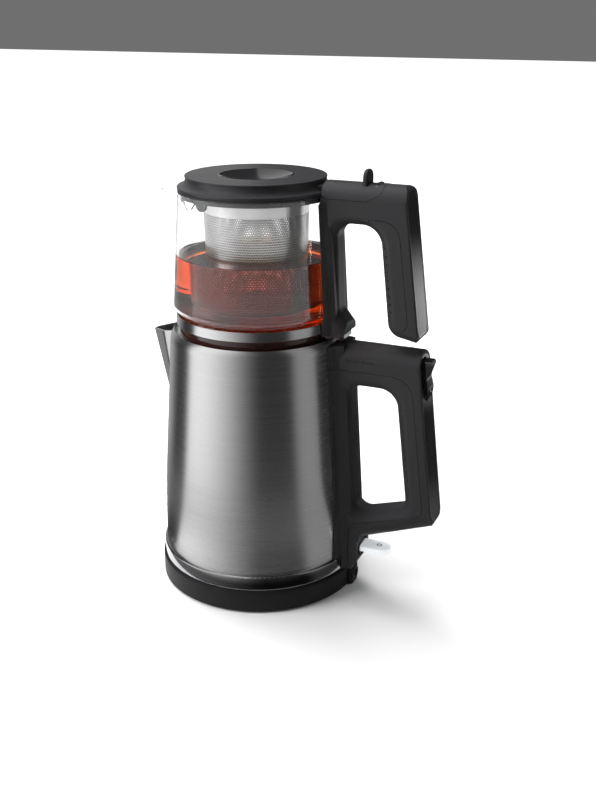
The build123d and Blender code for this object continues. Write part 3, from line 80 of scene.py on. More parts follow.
def makeBrushGroup():
    group, start, end = newGroup(
        "levelBrush",
        [("Fineness", "Float", 2600.0), ("Reach", "Float", 14.0), ("Contrast", "Float", 1.0)],
        [("Lines", "Float"), ("Bands", "Float")],
    )
    coord = addNode(group, "ShaderNodeTexCoord", (-900, 300))
    split = addNode(group, "ShaderNodeSeparateXYZ", (-720, 300))
    link(group, coord.outputs["Object"], split.inputs[0])
    reach = start.outputs["Reach"]
    across = [mathNode(group, "MULTIPLY", split.outputs[i], reach, (-540, 300 - 120 * i)) for i in (0, 1)]
    up = mathNode(group, "MULTIPLY", split.outputs[2], start.outputs["Fineness"], (-540, 40))
    fine = addNode(group, "ShaderNodeCombineXYZ", (-360, 200))
    for socket, value in zip(fine.inputs, (*across, up)):
        link(group, value, socket)
    lines = addNode(group, "ShaderNodeTexNoise", (-180, 200))
    lines.inputs["Scale"].default_value = 1.0
    lines.inputs["Detail"].default_value = brushShape["lineDetail"]
    link(group, fine.outputs[0], lines.inputs["Vector"])
    slow = addNode(group, "ShaderNodeVectorMath", (-360, -100), operation="MULTIPLY")
    slow.inputs[1].default_value = (1.0, 1.0, brushShape["bandStretch"])
    link(group, fine.outputs[0], slow.inputs[0])
    bands = addNode(group, "ShaderNodeTexNoise", (-180, -100))
    bands.inputs["Scale"].default_value = 1.0
    bands.inputs["Detail"].default_value = brushShape["bandDetail"]
    link(group, slow.outputs[0], bands.inputs["Vector"])
    for texture, label, y in ((lines, "Lines", 200), (bands, "Bands", -100)):
        centred = mathNode(group, "SUBTRACT", texture.outputs["Fac"], 0.5, (0, y))
        scaled = mathNode(group, "MULTIPLY", centred, start.outputs["Contrast"], (160, y))
        link(group, mathNode(group, "ADD", scaled, 0.5, (320, y), clamp=True), end.inputs[label])
    return group


# fine grain of a moulded surface, and the soft smudges that handling leaves on it
grainShape = {"grainDetail": 2.0, "grainRoughness": 0.6, "smudgeDetail": 3.0}


def makeGrainGroup():
    group, start, end = newGroup(
        "mouldedGrain",
        [("Grain Size", "Float", 2600.0), ("Smudge Size", "Float", 38.0)],
        [("Height", "Float"), ("Smudge", "Float")],
    )
    coord = addNode(group, "ShaderNodeTexCoord", (-700, 100))
    grain = addNode(group, "ShaderNodeTexNoise", (-400, 200))
    grain.inputs["Detail"].default_value = grainShape["grainDetail"]
    grain.inputs["Roughness"].default_value = grainShape["grainRoughness"]
    smudge = addNode(group, "ShaderNodeTexNoise", (-400, -100))
    smudge.inputs["Detail"].default_value = grainShape["smudgeDetail"]
    for texture, size in ((grain, "Grain Size"), (smudge, "Smudge Size")):
        link(group, coord.outputs["Object"], texture.inputs["Vector"])
        link(group, start.outputs[size], texture.inputs["Scale"])
    link(group, grain.outputs["Fac"], end.inputs["Height"])
    link(group, smudge.outputs["Fac"], end.inputs["Smudge"])
    return group


# thin dust that settles where a surface faces up
dustShape = {"upShare": 0.85, "speckDetail": 5.0}


def makeDustGroup():
    group, start, end = newGroup(
        "settledDust",
        [("Amount", "Float", 0.1), ("Speck Size", "Float", 900.0)],
        [("Mask", "Float")],
    )
    geometry = addNode(group, "ShaderNodeNewGeometry", (-700, 200))
    split = addNode(group, "ShaderNodeSeparateXYZ", (-520, 200))
    link(group, geometry.outputs["Normal"], split.inputs[0])
    up = mathNode(group, "MULTIPLY", split.outputs[2], dustShape["upShare"], (-340, 200), clamp=True)
    coord = addNode(group, "ShaderNodeTexCoord", (-700, -100))
    speck = addNode(group, "ShaderNodeTexNoise", (-340, -100))
    speck.inputs["Detail"].default_value = dustShape["speckDetail"]
    link(group, coord.outputs["Object"], speck.inputs["Vector"])
    link(group, start.outputs["Speck Size"], speck.inputs["Scale"])
    mask = mathNode(group, "MULTIPLY", up, speck.outputs["Fac"], (-160, 100))
    link(group, mathNode(group, "MULTIPLY", mask, start.outputs["Amount"], (40, 100)), end.inputs["Mask"])
    return group


# round holes punched in rows round a basket
def makePunchGroup():
    group, start, end = newGroup(
        "punchedHoles",
        [("Round Count", "Float", 150.0), ("Row Pitch", "Float", 0.0016), ("Hole Share", "Float", 0.3),
         ("Lowest", "Float", 0.0), ("Highest", "Float", 1.0)],
        [("Solid", "Float")],
    )
    coord = addNode(group, "ShaderNodeTexCoord", (-1300, 100))
    split = addNode(group, "ShaderNodeSeparateXYZ", (-1120, 100))
    link(group, coord.outputs["Object"], split.inputs[0])
    angle = mathNode(group, "ARCTAN2", split.outputs[1], split.outputs[0], (-940, 200))
    around = mathNode(group, "MULTIPLY", mathNode(group, "DIVIDE", angle, 2 * math.pi, (-760, 200)),
                      start.outputs["Round Count"], (-580, 200))
    row = mathNode(group, "DIVIDE", split.outputs[2], start.outputs["Row Pitch"], (-760, 0))
    wholeRow = mathNode(group, "FLOOR", row, None, (-580, 0))
    odd = mathNode(group, "MULTIPLY", mathNode(group, "MODULO", wholeRow, 2.0, (-440, 0)), 0.5, (-300, 0))
    staggered = mathNode(group, "ADD", around, odd, (-300, 200))
    offsets = []
    for value, y in ((staggered, 200), (row, 0)):
        part = mathNode(group, "FRACT", value, None, (-120, y))
        offsets.append(mathNode(group, "SUBTRACT", part, 0.5, (40, y)))
    squares = [mathNode(group, "MULTIPLY", offset, offset, (200, y)) for offset, y in zip(offsets, (200, 0))]
    distance = mathNode(group, "SQRT", mathNode(group, "ADD", *squares, (360, 100)), None, (520, 100))
    hole = mathNode(group, "LESS_THAN", distance, start.outputs["Hole Share"], (680, 100))
    above = mathNode(group, "GREATER_THAN", split.outputs[2], start.outputs["Lowest"], (360, -100))
    below = mathNode(group, "LESS_THAN", split.outputs[2], start.outputs["Highest"], (520, -100))
    inside = mathNode(group, "MULTIPLY", above, below, (680, -100))
    cut = mathNode(group, "MULTIPLY", hole, inside, (840, 0))
    end.location = (1200, 0)
    link(group, mathNode(group, "SUBTRACT", 1.0, cut, (1000, 0)), end.inputs["Solid"])
    return group


levelBrush = makeBrushGroup()
mouldedGrain = makeGrainGroup()
settledDust = makeDustGroup()
punchedHoles = makePunchGroup()


def groupNode(tree, group, place, **values):
    node = addNode(tree, "ShaderNodeGroup", place, node_tree=group)
    for name, value in values.items():
        node.inputs[name.replace("_", " ")].default_value = value
    return node


def newMaterial(name):
    material = bpy.data.materials.new(name)
    material.use_nodes = True
    tree = material.node_tree
    tree.nodes.clear()
    output = addNode(tree, "ShaderNodeOutputMaterial", (600, 0))
    shader = addNode(tree, "ShaderNodeBsdfPrincipled", (200, 0))
    link(tree, shader.outputs[0], output.inputs[0])
    return material, tree, shader, output


def setRange(tree, value, low, high, place):
    node = addNode(tree, "ShaderNodeMapRange", place)
    node.inputs["To Min"].default_value = low
    node.inputs["To Max"].default_value = high
    link(tree, value, node.inputs["Value"])
    return node.outputs[0]


def addBump(tree, shader, height, distance, strength, place=(-50, -400)):
    bump = addNode(tree, "ShaderNodeBump", place)
    bump.inputs["Strength"].default_value = strength
    bump.inputs["Distance"].default_value = distance
    link(tree, height, bump.inputs["Height"])
    link(tree, bump.outputs[0], shader.inputs["Normal"])


def mixColour(tree, share, first, second, place):
    mix = addNode(tree, "ShaderNodeMix", place, data_type="RGBA")
    mix.inputs[6].default_value = (*first, 1)
    mix.inputs[7].default_value = (*second, 1)
    link(tree, share, mix.inputs[0])
    return mix.outputs[2]


lacquerRoughness = 0.06


def makePlastic(name, look):
    material, tree, shader, _ = newMaterial(name)
    grain = groupNode(tree, mouldedGrain, (-700, 0),
                      Grain_Size=look["grainSize"], Smudge_Size=look["smudgeSize"])
    dust = groupNode(tree, settledDust, (-700, -250), Amount=look["dust"])
    colour = mixColour(tree, dust.outputs["Mask"], look["colour"], look["dustColour"], (-300, 150))
    link(tree, colour, shader.inputs["Base Color"])
    low, high = look["roughness"]
    link(tree, setRange(tree, grain.outputs["Smudge"], low, high, (-300, -50)), shader.inputs["Roughness"])
    addBump(tree, shader, grain.outputs["Height"], look["grainDepth"], look["grainStrength"])
    shader.inputs["Coat Weight"].default_value = look.get("coat", 0.0)
    shader.inputs["Coat Roughness"].default_value = lacquerRoughness
    shader.inputs["Specular IOR Level"].default_value = look.get("specular", 0.5)
    return material


lineShare, bandShare = 0.6, 0.4
glossTurn = 0.25    # gloss spreads across the brush lines


def makeSteel(name, look):
    material, tree, shader, _ = newMaterial(name)
    brush = groupNode(tree, levelBrush, (-800, 0),
                      Fineness=look["fineness"], Reach=look["reach"], Contrast=look["contrast"])
    lines = mathNode(tree, "MULTIPLY", brush.outputs["Lines"], lineShare, (-600, 100))
    bands = mathNode(tree, "MULTIPLY", brush.outputs["Bands"], bandShare, (-600, -50))
    both = mathNode(tree, "ADD", lines, bands, (-420, 0))
    link(tree, mixColour(tree, both, look["dark"], look["light"], (-200, 150)), shader.inputs["Base Color"])
    low, high = look["roughness"]
    link(tree, setRange(tree, both, low, high, (-200, -50)), shader.inputs["Roughness"])
    shader.inputs["Metallic"].default_value = 1.0
    shader.inputs["Anisotropic"].default_value = look["anisotropy"]
    shader.inputs["Anisotropic Rotation"].default_value = glossTurn
    if look["anisotropy"]:
        tangent = addNode(tree, "ShaderNodeTangent", (-200, -600), direction_type="RADIAL", axis="Z")
        link(tree, tangent.outputs[0], shader.inputs["Tangent"])
    addBump(tree, shader, brush.outputs["Lines"], look["lineDepth"], look["lineStrength"])
    return material


plasticLooks = {
    "baseBlack": {
        "colour": (0.011, 0.011, 0.012), "dustColour": (0.10, 0.10, 0.10), "dust": 0.06,
        "specular": 0.14, "roughness": (0.42, 0.52), "grainSize": 2200.0, "smudgeSize": 30.0,
        "grainDepth": 0.00006, "grainStrength": 0.25,
    },
    "shellBlack": {
        "colour": (0.022, 0.022, 0.024), "dustColour": (0.16, 0.16, 0.16), "dust": 0.10,
        "roughness": (0.40, 0.50), "grainSize": 1900.0, "smudgeSize": 34.0, "grainDepth": 0.00008,
        "grainStrength": 0.35,
    },
    "gripBlack": {
        "colour": (0.024, 0.024, 0.026), "dustColour": (0.14, 0.14, 0.14), "dust": 0.06,
        "roughness": (0.50, 0.62), "grainSize": 2600.0, "smudgeSize": 28.0, "grainDepth": 0.00007,
        "grainStrength": 0.3,
    },
    "lidBlack": {
        "colour": (0.019, 0.019, 0.021), "dustColour": (0.16, 0.16, 0.16), "dust": 0.10,
        "roughness": (0.34, 0.44), "grainSize": 2000.0, "smudgeSize": 26.0, "grainDepth": 0.00006,
        "grainStrength": 0.25,
    },
    "pianoBlack": {
        "colour": (0.008, 0.008, 0.009), "dustColour": (0.2, 0.2, 0.2), "dust": 0.03,
        "roughness": (0.07, 0.13), "grainSize": 900.0, "smudgeSize": 40.0, "grainDepth": 0.00001,
        "grainStrength": 0.05, "coat": 0.6,
    },
    # black gloss with a painted red-brown reflection of the tea in its colour, for the pot's base ring
    "paintedTeaReflectionGloss": {
        "colour": (0.030, 0.010, 0.008), "dustColour": (0.2, 0.18, 0.17), "dust": 0.02,
        "roughness": (0.10, 0.18), "grainSize": 900.0, "smudgeSize": 40.0, "grainDepth": 0.00001,
        "grainStrength": 0.05, "coat": 0.8,
    },
    "softRubber": {
        "colour": (0.02, 0.02, 0.02), "dustColour": (0.1, 0.1, 0.1), "dust": 0.1,
        "roughness": (0.7, 0.8), "grainSize": 1500.0, "smudgeSize": 40.0, "grainDepth": 0.00008,
        "grainStrength": 0.3,
    },
    "insideGrey": {
        "colour": (0.05, 0.05, 0.052), "dustColour": (0.2, 0.2, 0.2), "dust": 0.05,
        "roughness": (0.45, 0.6), "grainSize": 1500.0, "smudgeSize": 40.0, "grainDepth": 0.00006,
        "grainStrength": 0.3,
    },
}
steelLooks = {
    "bodySteel": {
        "dark": (0.66, 0.66, 0.66), "light": (0.82, 0.82, 0.818), "roughness": (0.24, 0.32),
        "anisotropy": 0.6, "fineness": 5200.0, "reach": 5.0, "contrast": 1.0, "lineDepth": 0.00001,
        "lineStrength": 0.08,
    },
    "smokedChrome": {
        "dark": (0.34, 0.34, 0.35), "light": (0.46, 0.46, 0.47), "roughness": (0.05, 0.09),
        "anisotropy": 0.0, "fineness": 400.0, "reach": 40.0, "contrast": 1.0, "lineDepth": 0.00001,
        "lineStrength": 0.02,
    },
    "bandSteel": {
        "dark": (0.66, 0.66, 0.66), "light": (0.86, 0.86, 0.86), "roughness": (0.16, 0.24),
        "anisotropy": 0.3, "fineness": 3200.0, "reach": 10.0, "contrast": 1.2, "lineDepth": 0.00001,
        "lineStrength": 0.1,
    },
    "plainSteel": {
        "dark": (0.5, 0.5, 0.5), "light": (0.66, 0.66, 0.66), "roughness": (0.2, 0.3), "anisotropy": 0.0,
        "fineness": 2600.0, "reach": 40.0, "contrast": 1.0, "lineDepth": 0.00001, "lineStrength": 0.08,
    },
    "trimSilver": {
        "dark": (0.6, 0.6, 0.6), "light": (0.78, 0.78, 0.78), "roughness": (0.18, 0.26),
        "anisotropy": 0.0, "fineness": 1200.0, "reach": 300.0, "contrast": 0.8, "lineDepth": 0.00001,
        "lineStrength": 0.05,
    },
    "contactBrass": {
        "dark": (0.55, 0.38, 0.14), "light": (0.78, 0.58, 0.25), "roughness": (0.22, 0.32),
        "anisotropy": 0.0, "fineness": 2000.0, "reach": 60.0, "contrast": 1.0, "lineDepth": 0.00001,
        "lineStrength": 0.1,
    },
}
plastics = {name: makePlastic(name, look) for name, look in plasticLooks.items()}
steels = {name: makeSteel(name, look) for name, look in steelLooks.items()}


# clear glass lets lamp light through to what it holds, and darkens where it is seen edge on
def makeGlass(name, look):
    material, tree, shader, output = newMaterial(name)
    edge = addNode(tree, "ShaderNodeLayerWeight", (-400, 100))
    edge.inputs["Blend"].default_value = look["edgeBlend"]
    share = mathNode(tree, "POWER", edge.outputs["Facing"], look["edgePower"], (-200, 250))
    colour = mixColour(tree, share, look["colour"], look["edgeColour"], (0, 150))
    link(tree, colour, shader.inputs["Base Color"])
    shader.inputs["Roughness"].default_value = look["roughness"]
    shader.inputs["IOR"].default_value = look["index"]
    shader.inputs["Specular IOR Level"].default_value = look["specular"]
    shader.inputs["Transmission Weight"].default_value = 1.0
    clear = addNode(tree, "ShaderNodeBsdfTransparent", (200, -300))
    clear.inputs[0].default_value = (*look["through"], 1)
    path = addNode(tree, "ShaderNodeLightPath", (200, 400))
    mix = addNode(tree, "ShaderNodeMixShader", (420, 0))
    link(tree, path.outputs["Is Shadow Ray"], mix.inputs[0])
    link(tree, shader.outputs[0], mix.inputs[1])
    link(tree, clear.outputs[0], mix.inputs[2])
    link(tree, mix.outputs[0], output.inputs["Surface"])
    output.location = (640, 0)
    if "depthColour" in look:
        depth = addNode(tree, "ShaderNodeVolumeAbsorption", (420, -300))
        depth.inputs["Color"].default_value = (*look["depthColour"], 1)
        depth.inputs["Density"].default_value = look["density"]
        link(tree, depth.outputs[0], output.inputs["Volume"])
    return material


glassLook = {
    "colour": (1.0, 1.0, 1.0), "edgeColour": (0.10, 0.11, 0.11), "edgePower": 7.0, "edgeBlend": 0.5,
    "roughness": 0.0, "index": 1.47, "specular": 0.3, "through": (0.96, 0.97, 0.97),
}
brewLook = {
    "colour": (1.0, 1.0, 1.0), "edgeColour": (0.8, 0.5, 0.4), "edgePower": 6.0, "edgeBlend": 0.5,
    "roughness": 0.0, "index": 1.33, "specular": 0.15, "through": (0.95, 0.8, 0.7),
    "depthColour": (0.97, 0.74, 0.22), "density": 115.0,
}
jugGlass = makeGlass("jugGlass", glassLook)
brewedTea = makeGlass("brewedTea", brewLook)


# the strainer's sheet is punched up to a plain collar band, with painted shade round each hole and painted
# brown shade below the tea's level
teaLevel = 0.2645
punchLook = {
    "roundCount": 132.0, "rowPitch": 0.0018, "holeShare": 0.30, "rimShare": 0.42,
    "floorGap": 0.004, "bandHeight": 0.0125,
    "dark": (0.30, 0.30, 0.30), "light": (0.62, 0.62, 0.62), "rim": (0.10, 0.10, 0.10),
    "teaShade": (0.09, 0.032, 0.016), "teaShadeLevel": teaLevel, "teaShadeReach": 0.003,
    "grainSize": 1400.0, "smudgeSize": 60.0, "roughness": (0.25, 0.38),
}


def addPunch(tree, look, share, place):
    low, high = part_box("strainer_basket")
    return groupNode(tree, punchedHoles, place, Round_Count=look["roundCount"], Row_Pitch=look["rowPitch"],
                     Hole_Share=look[share], Lowest=low[2] + look["floorGap"],
                     Highest=high[2] - look["bandHeight"])


# mask for the painted brown shade below the tea's level: 1 below it, 0 above it
def addTeaShadeMask(tree, look):
    coord = addNode(tree, "ShaderNodeTexCoord", (-900, 500))
    split = addNode(tree, "ShaderNodeSeparateXYZ", (-720, 500))
    link(tree, coord.outputs["Object"], split.inputs[0])
    teaShadeMask = addNode(tree, "ShaderNodeMapRange", (-540, 500), interpolation_type="SMOOTHSTEP")
    teaShadeMask.inputs["From Min"].default_value = look["teaShadeLevel"] + look["teaShadeReach"]
    teaShadeMask.inputs["From Max"].default_value = look["teaShadeLevel"]
    link(tree, split.outputs[2], teaShadeMask.inputs["Value"])
    return teaShadeMask.outputs[0]


def makePunchedSteel(look):
    material, tree, shader, _ = newMaterial("punchedSteel")
    punch = addPunch(tree, look, "holeShare", (-500, -200))
    link(tree, punch.outputs["Solid"], shader.inputs["Alpha"])
    grain = groupNode(tree, mouldedGrain, (-700, 100),
                      Grain_Size=look["grainSize"], Smudge_Size=look["smudgeSize"])
    sheet = mixColour(tree, grain.outputs["Smudge"], look["dark"], look["light"], (-300, 200))
    # painted shade: a wider dark ring round each hole
    rims = addPunch(tree, look, "rimShare", (-500, -500))
    teaShadeMask = addTeaShadeMask(tree, look)
    holeShaded = addNode(tree, "ShaderNodeMix", (-120, 200), data_type="RGBA")
    holeShaded.inputs[6].default_value = (*look["rim"], 1)
    link(tree, sheet, holeShaded.inputs[7])
    link(tree, rims.outputs["Solid"], holeShaded.inputs[0])
    # painted brown shade on the sheet below the tea's level
    teaShaded = addNode(tree, "ShaderNodeMix", (40, 300), data_type="RGBA")
    teaShaded.inputs[7].default_value = (*look["teaShade"], 1)
    link(tree, holeShaded.outputs[2], teaShaded.inputs[6])
    link(tree, teaShadeMask, teaShaded.inputs[0])
    link(tree, teaShaded.outputs[2], shader.inputs["Base Color"])
    low, high = look["roughness"]
    link(tree, setRange(tree, grain.outputs["Smudge"], low, high, (-300, 0)), shader.inputs["Roughness"])
    shader.inputs["Metallic"].default_value = 1.0
    return material


punchedSteel = makePunchedSteel(punchLook)


# milky rocker, lit from inside
rockerLook = {
    "colour": (0.86, 0.88, 0.9), "dull": (0.72, 0.75, 0.78), "roughness": (0.12, 0.22),
    "grainSize": 700.0, "smudgeSize": 120.0, "milkiness": 0.3, "milkReach": 0.004,
    "glow": (0.95, 0.97, 1.0), "glowStrength": 0.45,
}


def makeLitPlastic(look):
    material, tree, shader, _ = newMaterial("litPlastic")
    grain = groupNode(tree, mouldedGrain, (-600, 0),
                      Grain_Size=look["grainSize"], Smudge_Size=look["smudgeSize"])
    colour = mixColour(tree, grain.outputs["Smudge"], look["dull"], look["colour"], (-200, 150))
    link(tree, colour, shader.inputs["Base Color"])
    low, high = look["roughness"]
    link(tree, setRange(tree, grain.outputs["Smudge"], low, high, (-200, -50)), shader.inputs["Roughness"])
    shader.inputs["Subsurface Weight"].default_value = look["milkiness"]
    shader.inputs["Subsurface Radius"].default_value = (look["milkReach"],) * 3
    shader.inputs["Emission Color"].default_value = (*look["glow"], 1)
    shader.inputs["Emission Strength"].default_value = look["glowStrength"]
    return material


litPlastic = makeLitPlastic(rockerLook)
print("materials made")


# which finish each part wears
finishes = {
    plastics["baseBlack"]: ["base_housing", "base_bottom_plate", "connector_post"],
    plastics["paintedTeaReflectionGloss"]: ["pot_base_ring"],
    plastics["shellBlack"]: ["kettle_handle_shell", "pot_handle_shell", "lid_arm", "thumb_paddle",
                             "vent_slot_inserts"],
    plastics["gripBlack"]: ["kettle_handle_grip", "pot_handle_grip", "strainer_collar", "lid_plug"],
    plastics["lidBlack"]: ["lid_cap"],
    steels["smokedChrome"]: ["kettle_bottom_ring"],
    plastics["pianoBlack"]: ["kettle_strip", "pot_strip", "lid_knob", "switch_bezel", "trigger"],
    plastics["softRubber"]: ["foot_ring", "cord_bush", "kettle_lid_seal", "lid_seal", "steam_tube"],
    plastics["insideGrey"]: ["kettle_socket", "kettle_under_plate", "control_block", "latch_rod"],
    steels["bodySteel"]: ["kettle_body", "kettle_spout"],
    steels["bandSteel"]: ["pot_steel_band", "kettle_lid"],
    steels["plainSteel"]: ["heater_plate", "spout_filter", "base_screws", "kettle_handle_screws",
                           "pot_handle_screws", "pot_foot_screws", "lid_screws", "lid_hinge_pin",
                           "trigger_pin", "switch_pin", "heating_element"],
    steels["trimSilver"]: ["kettle_strip_trim", "pot_strip_trim"],
    steels["contactBrass"]: ["contact_sleeve", "contact_pin"],
    punchedSteel: ["strainer_basket"],
    jugGlass: ["glass_jug"],
    litPlastic: ["power_switch", "trigger_lens"],
}
for material, names in finishes.items():
    for name in names:
        for slot in nodes[name].material_slots:
            slot.material = material
print("finishes set")


def newPiece(name, verts, faces, material, body):
    mesh = bpy.data.meshes.new(name)
    mesh.from_pydata(verts, [], faces)
    mesh.validate()
    piece = bpy.data.objects.new(name, mesh)
    bpy.context.scene.collection.objects.link(piece)
    mesh.materials.append(material)
    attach(piece, body)
    return piece


def shadeSmooth(piece, angle):
    for polygon in piece.data.polygons:
        polygon.use_smooth = True
    piece.data.set_sharp_from_angle(angle=math.radians(angle))


# a turned form from radius and height points, closed on the axis at both ends
def turnedForm(points, count):
    verts, faces = [], []
    rings = []
    for radius, height in points:
        if radius < 1e-6:
            rings.append([len(verts)])
            verts.append((0.0, 0.0, height))
            continue
        rings.append(list(range(len(verts), len(verts) + count)))
        for i in range(count):
            angle = 2 * math.pi * i / count
            verts.append((radius * math.cos(angle), radius * math.sin(angle), height))
    for lower, upper in zip(rings, rings[1:]):
        for i in range(count):
            j = (i + 1) % count
            if len(lower) == 1:
                faces.append((lower[0], upper[j], upper[i]))
            elif len(upper) == 1:
                faces.append((lower[i], lower[j], upper[0]))
            else:
                faces.append((lower[i], lower[j], upper[j], upper[i]))
    return verts, faces


# brewed tea standing in the glass, with a meniscus against the wall
teaLook = {
    "level": teaLevel, "wall": 0.002, "sink": 0.00015, "turns": 160,
    "glassFloor": 0.0025, "ringWall": 0.0035, "footTurn": (0.0010, 0.0012), "neckRise": 0.0004,
    "bulgeRise": 0.0055, "bulgeTurn": ((0.0006, -0.0012), (0.0001, 0.0012)),
    "taper": 0.069, "taperStart": 0.004, "taperSteps": 6,
    "meniscus": 0.0012, "meniscusCurve": ((0.0, 1.0), (0.0005, 0.5), (0.0016, 0.1), (0.004, 0.0)),
}


# from the middle of the glass's floor, out round its foot and up to the widest place above the band
def teaFoot(look, bulge, bulgeHeight, bandTop):
    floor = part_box("glass_jug")[0][2] + look["glassFloor"] - look["sink"]
    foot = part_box("pot_base_ring")[1][1] - look["ringWall"] + look["sink"]
    inset, rise = look["footTurn"]
    points = [(0.0, floor), (foot - inset, floor), (foot, floor + rise), (foot, bandTop + look["neckRise"])]
    points += [(bulge - back + look["sink"], bulgeHeight + up) for back, up in look["bulgeTurn"]]
    return points


def makeTea(look):
    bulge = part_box("glass_jug")[1][0] - look["wall"]
    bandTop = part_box("pot_steel_band")[1][2]
    bulgeHeight = bandTop + look["bulgeRise"]
    level = look["level"]
    wallRadius = bulge - (level - bulgeHeight) * look["taper"] + look["sink"]
    points = teaFoot(look, bulge, bulgeHeight, bandTop)
    low, steps = bulgeHeight + look["taperStart"], look["taperSteps"]
    for i in range(steps + 1):
        height = low + (level - low) * i / steps
        points.append((wallRadius + (level - height) * look["taper"], height))
    points += [(wallRadius - back, level + share * look["meniscus"]) for back, share in look["meniscusCurve"]]
    points += [(wallRadius * 0.5, level), (0.0, level)]
    verts, faces = turnedForm(points, look["turns"])
    tea = newPiece("teaFill", verts, faces, brewedTea, "teapot")
    shadeSmooth(tea, 40)


makeTea(teaLook)
print("tea poured")


# the marks on the rocker: a bar for on and a ring for off
markLook = {"height": 0.00012, "sunk": 0.00005, "bar": (0.0046, 0.0011), "barPlace": 0.0895,
            "ring": (0.0021, 0.0014), "ringPlace": 0.1040, "turns": 40}


def makeSwitchMarks(look):
    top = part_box("power_switch")[1][2]
    low, high = top - look["sunk"], top + look["height"] - look["sunk"]
    halfLong, halfWide = look["bar"][0] / 2, look["bar"][1] / 2
    x = look["barPlace"]
    left, right = x - halfWide, x + halfWide
    corners = [(left, -halfLong), (right, -halfLong), (right, halfLong), (left, halfLong)]
    verts = [(a, b, low) for a, b in corners] + [(a, b, high) for a, b in corners]
    faces = [(0, 3, 2, 1), (4, 5, 6, 7), (0, 1, 5, 4), (1, 2, 6, 5), (2, 3, 7, 6), (3, 0, 4, 7)]
    newPiece("switchBarMark", verts, faces, plastics["insideGrey"], "switch")
    outer, inner = look["ring"]
    count = look["turns"]
    verts, faces = [], []
    for i in range(count):
        angle = 2 * math.pi * i / count
        for radius, height in ((outer, low), (outer, high), (inner, high), (inner, low)):
            verts.append((look["ringPlace"] + radius * math.cos(angle), radius * math.sin(angle), height))
    for i in range(count):
        j = (i + 1) % count
        for k in range(4):
            m = (k + 1) % 4
            faces.append((4 * i + k, 4 * j + k, 4 * j + m, 4 * i + m))
    newPiece("switchRingMark", verts, faces, plastics["insideGrey"], "switch")


makeSwitchMarks(markLook)
print("switch marked")


# pale studio floor that stays white where it is lit and keeps the shadow
floorLook = {"size": 16.0, "colour": (0.80, 0.80, 0.80), "roughness": 0.9,
             "nearGlow": 0.03, "farGlow": 1.0, "nearReach": 0.2, "farReach": 1.8}


def makeFloor(look):
    half = look["size"] / 2
    mesh = bpy.data.meshes.new("studioFloor")
    corners = [(-half, -half, 0), (half, -half, 0), (half, half, 0), (-half, half, 0)]
    mesh.from_pydata(corners, [], [(0, 1, 2, 3)])
    floor = bpy.data.objects.new("studioFloor", mesh)
    bpy.context.scene.collection.objects.link(floor)
    material, tree, shader, output = newMaterial("floorWhite")
    shader.inputs["Base Color"].default_value = (*look["colour"], 1)
    shader.inputs["Roughness"].default_value = look["roughness"]
    shader.inputs["Specular IOR Level"].default_value = 0.0
    path = addNode(tree, "ShaderNodeLightPath", (-300, -200))
    glossy, through = path.outputs["Is Glossy Ray"], path.outputs["Is Transmission Ray"]
    shown = mathNode(tree, "MAXIMUM", glossy, through, (-120, -200))
    shown = mathNode(tree, "MAXIMUM", path.outputs["Is Camera Ray"], shown, (40, -200))
    coord = addNode(tree, "ShaderNodeTexCoord", (-700, -500))
    away = addNode(tree, "ShaderNodeVectorMath", (-520, -500), operation="LENGTH")
    link(tree, coord.outputs["Object"], away.inputs[0])
    spread = addNode(tree, "ShaderNodeMapRange", (-340, -500), interpolation_type="SMOOTHSTEP")
    spread.inputs["From Min"].default_value = look["nearReach"]
    spread.inputs["From Max"].default_value = look["farReach"]
    spread.inputs["To Min"].default_value = look["nearGlow"]
    spread.inputs["To Max"].default_value = look["farGlow"]
    link(tree, away.outputs["Value"], spread.inputs["Value"])
    glow = addNode(tree, "ShaderNodeEmission", (200, -300))
    link(tree, mathNode(tree, "MULTIPLY", shown, spread.outputs[0], (0, -400)), glow.inputs["Strength"])
    both = addNode(tree, "ShaderNodeAddShader", (420, 0))
    link(tree, shader.outputs[0], both.inputs[0])
    link(tree, glow.outputs[0], both.inputs[1])
    link(tree, both.outputs[0], output.inputs[0])
    mesh.materials.append(material)


makeFloor(floorLook)


# soft grey room, a little brighter along the horizon than above
worldLook = {"horizon": 0.16, "above": 0.14, "edge": (0.14, 0.34)}


def makeWorld(look):
    world = bpy.data.worlds.new("softRoom")
    bpy.context.scene.world = world
    world.use_nodes = True
    tree = world.node_tree
    tree.nodes.clear()
    output = addNode(tree, "ShaderNodeOutputWorld", (600, 0))
    coord = addNode(tree, "ShaderNodeTexCoord", (-700, 0))
    split = addNode(tree, "ShaderNodeSeparateXYZ", (-520, 0))
    link(tree, coord.outputs["Generated"], split.inputs[0])
    shade = addNode(tree, "ShaderNodeMapRange", (-340, 0), interpolation_type="SMOOTHSTEP")
    shade.inputs["From Min"].default_value, shade.inputs["From Max"].default_value = look["edge"]
    shade.inputs["To Min"].default_value = look["horizon"]
    shade.inputs["To Max"].default_value = look["above"]
    link(tree, split.outputs[2], shade.inputs["Value"])
    room = addNode(tree, "ShaderNodeBackground", (200, 0))
    room.inputs["Color"].default_value = (1, 1, 1, 1)
    link(tree, shade.outputs[0], room.inputs["Strength"])
    link(tree, room.outputs[0], output.inputs[0])


makeWorld(worldLook)


def aimAt(item, target):
    item.rotation_euler = (Vector(target) - item.location).to_track_quat("-Z", "Y").to_euler()


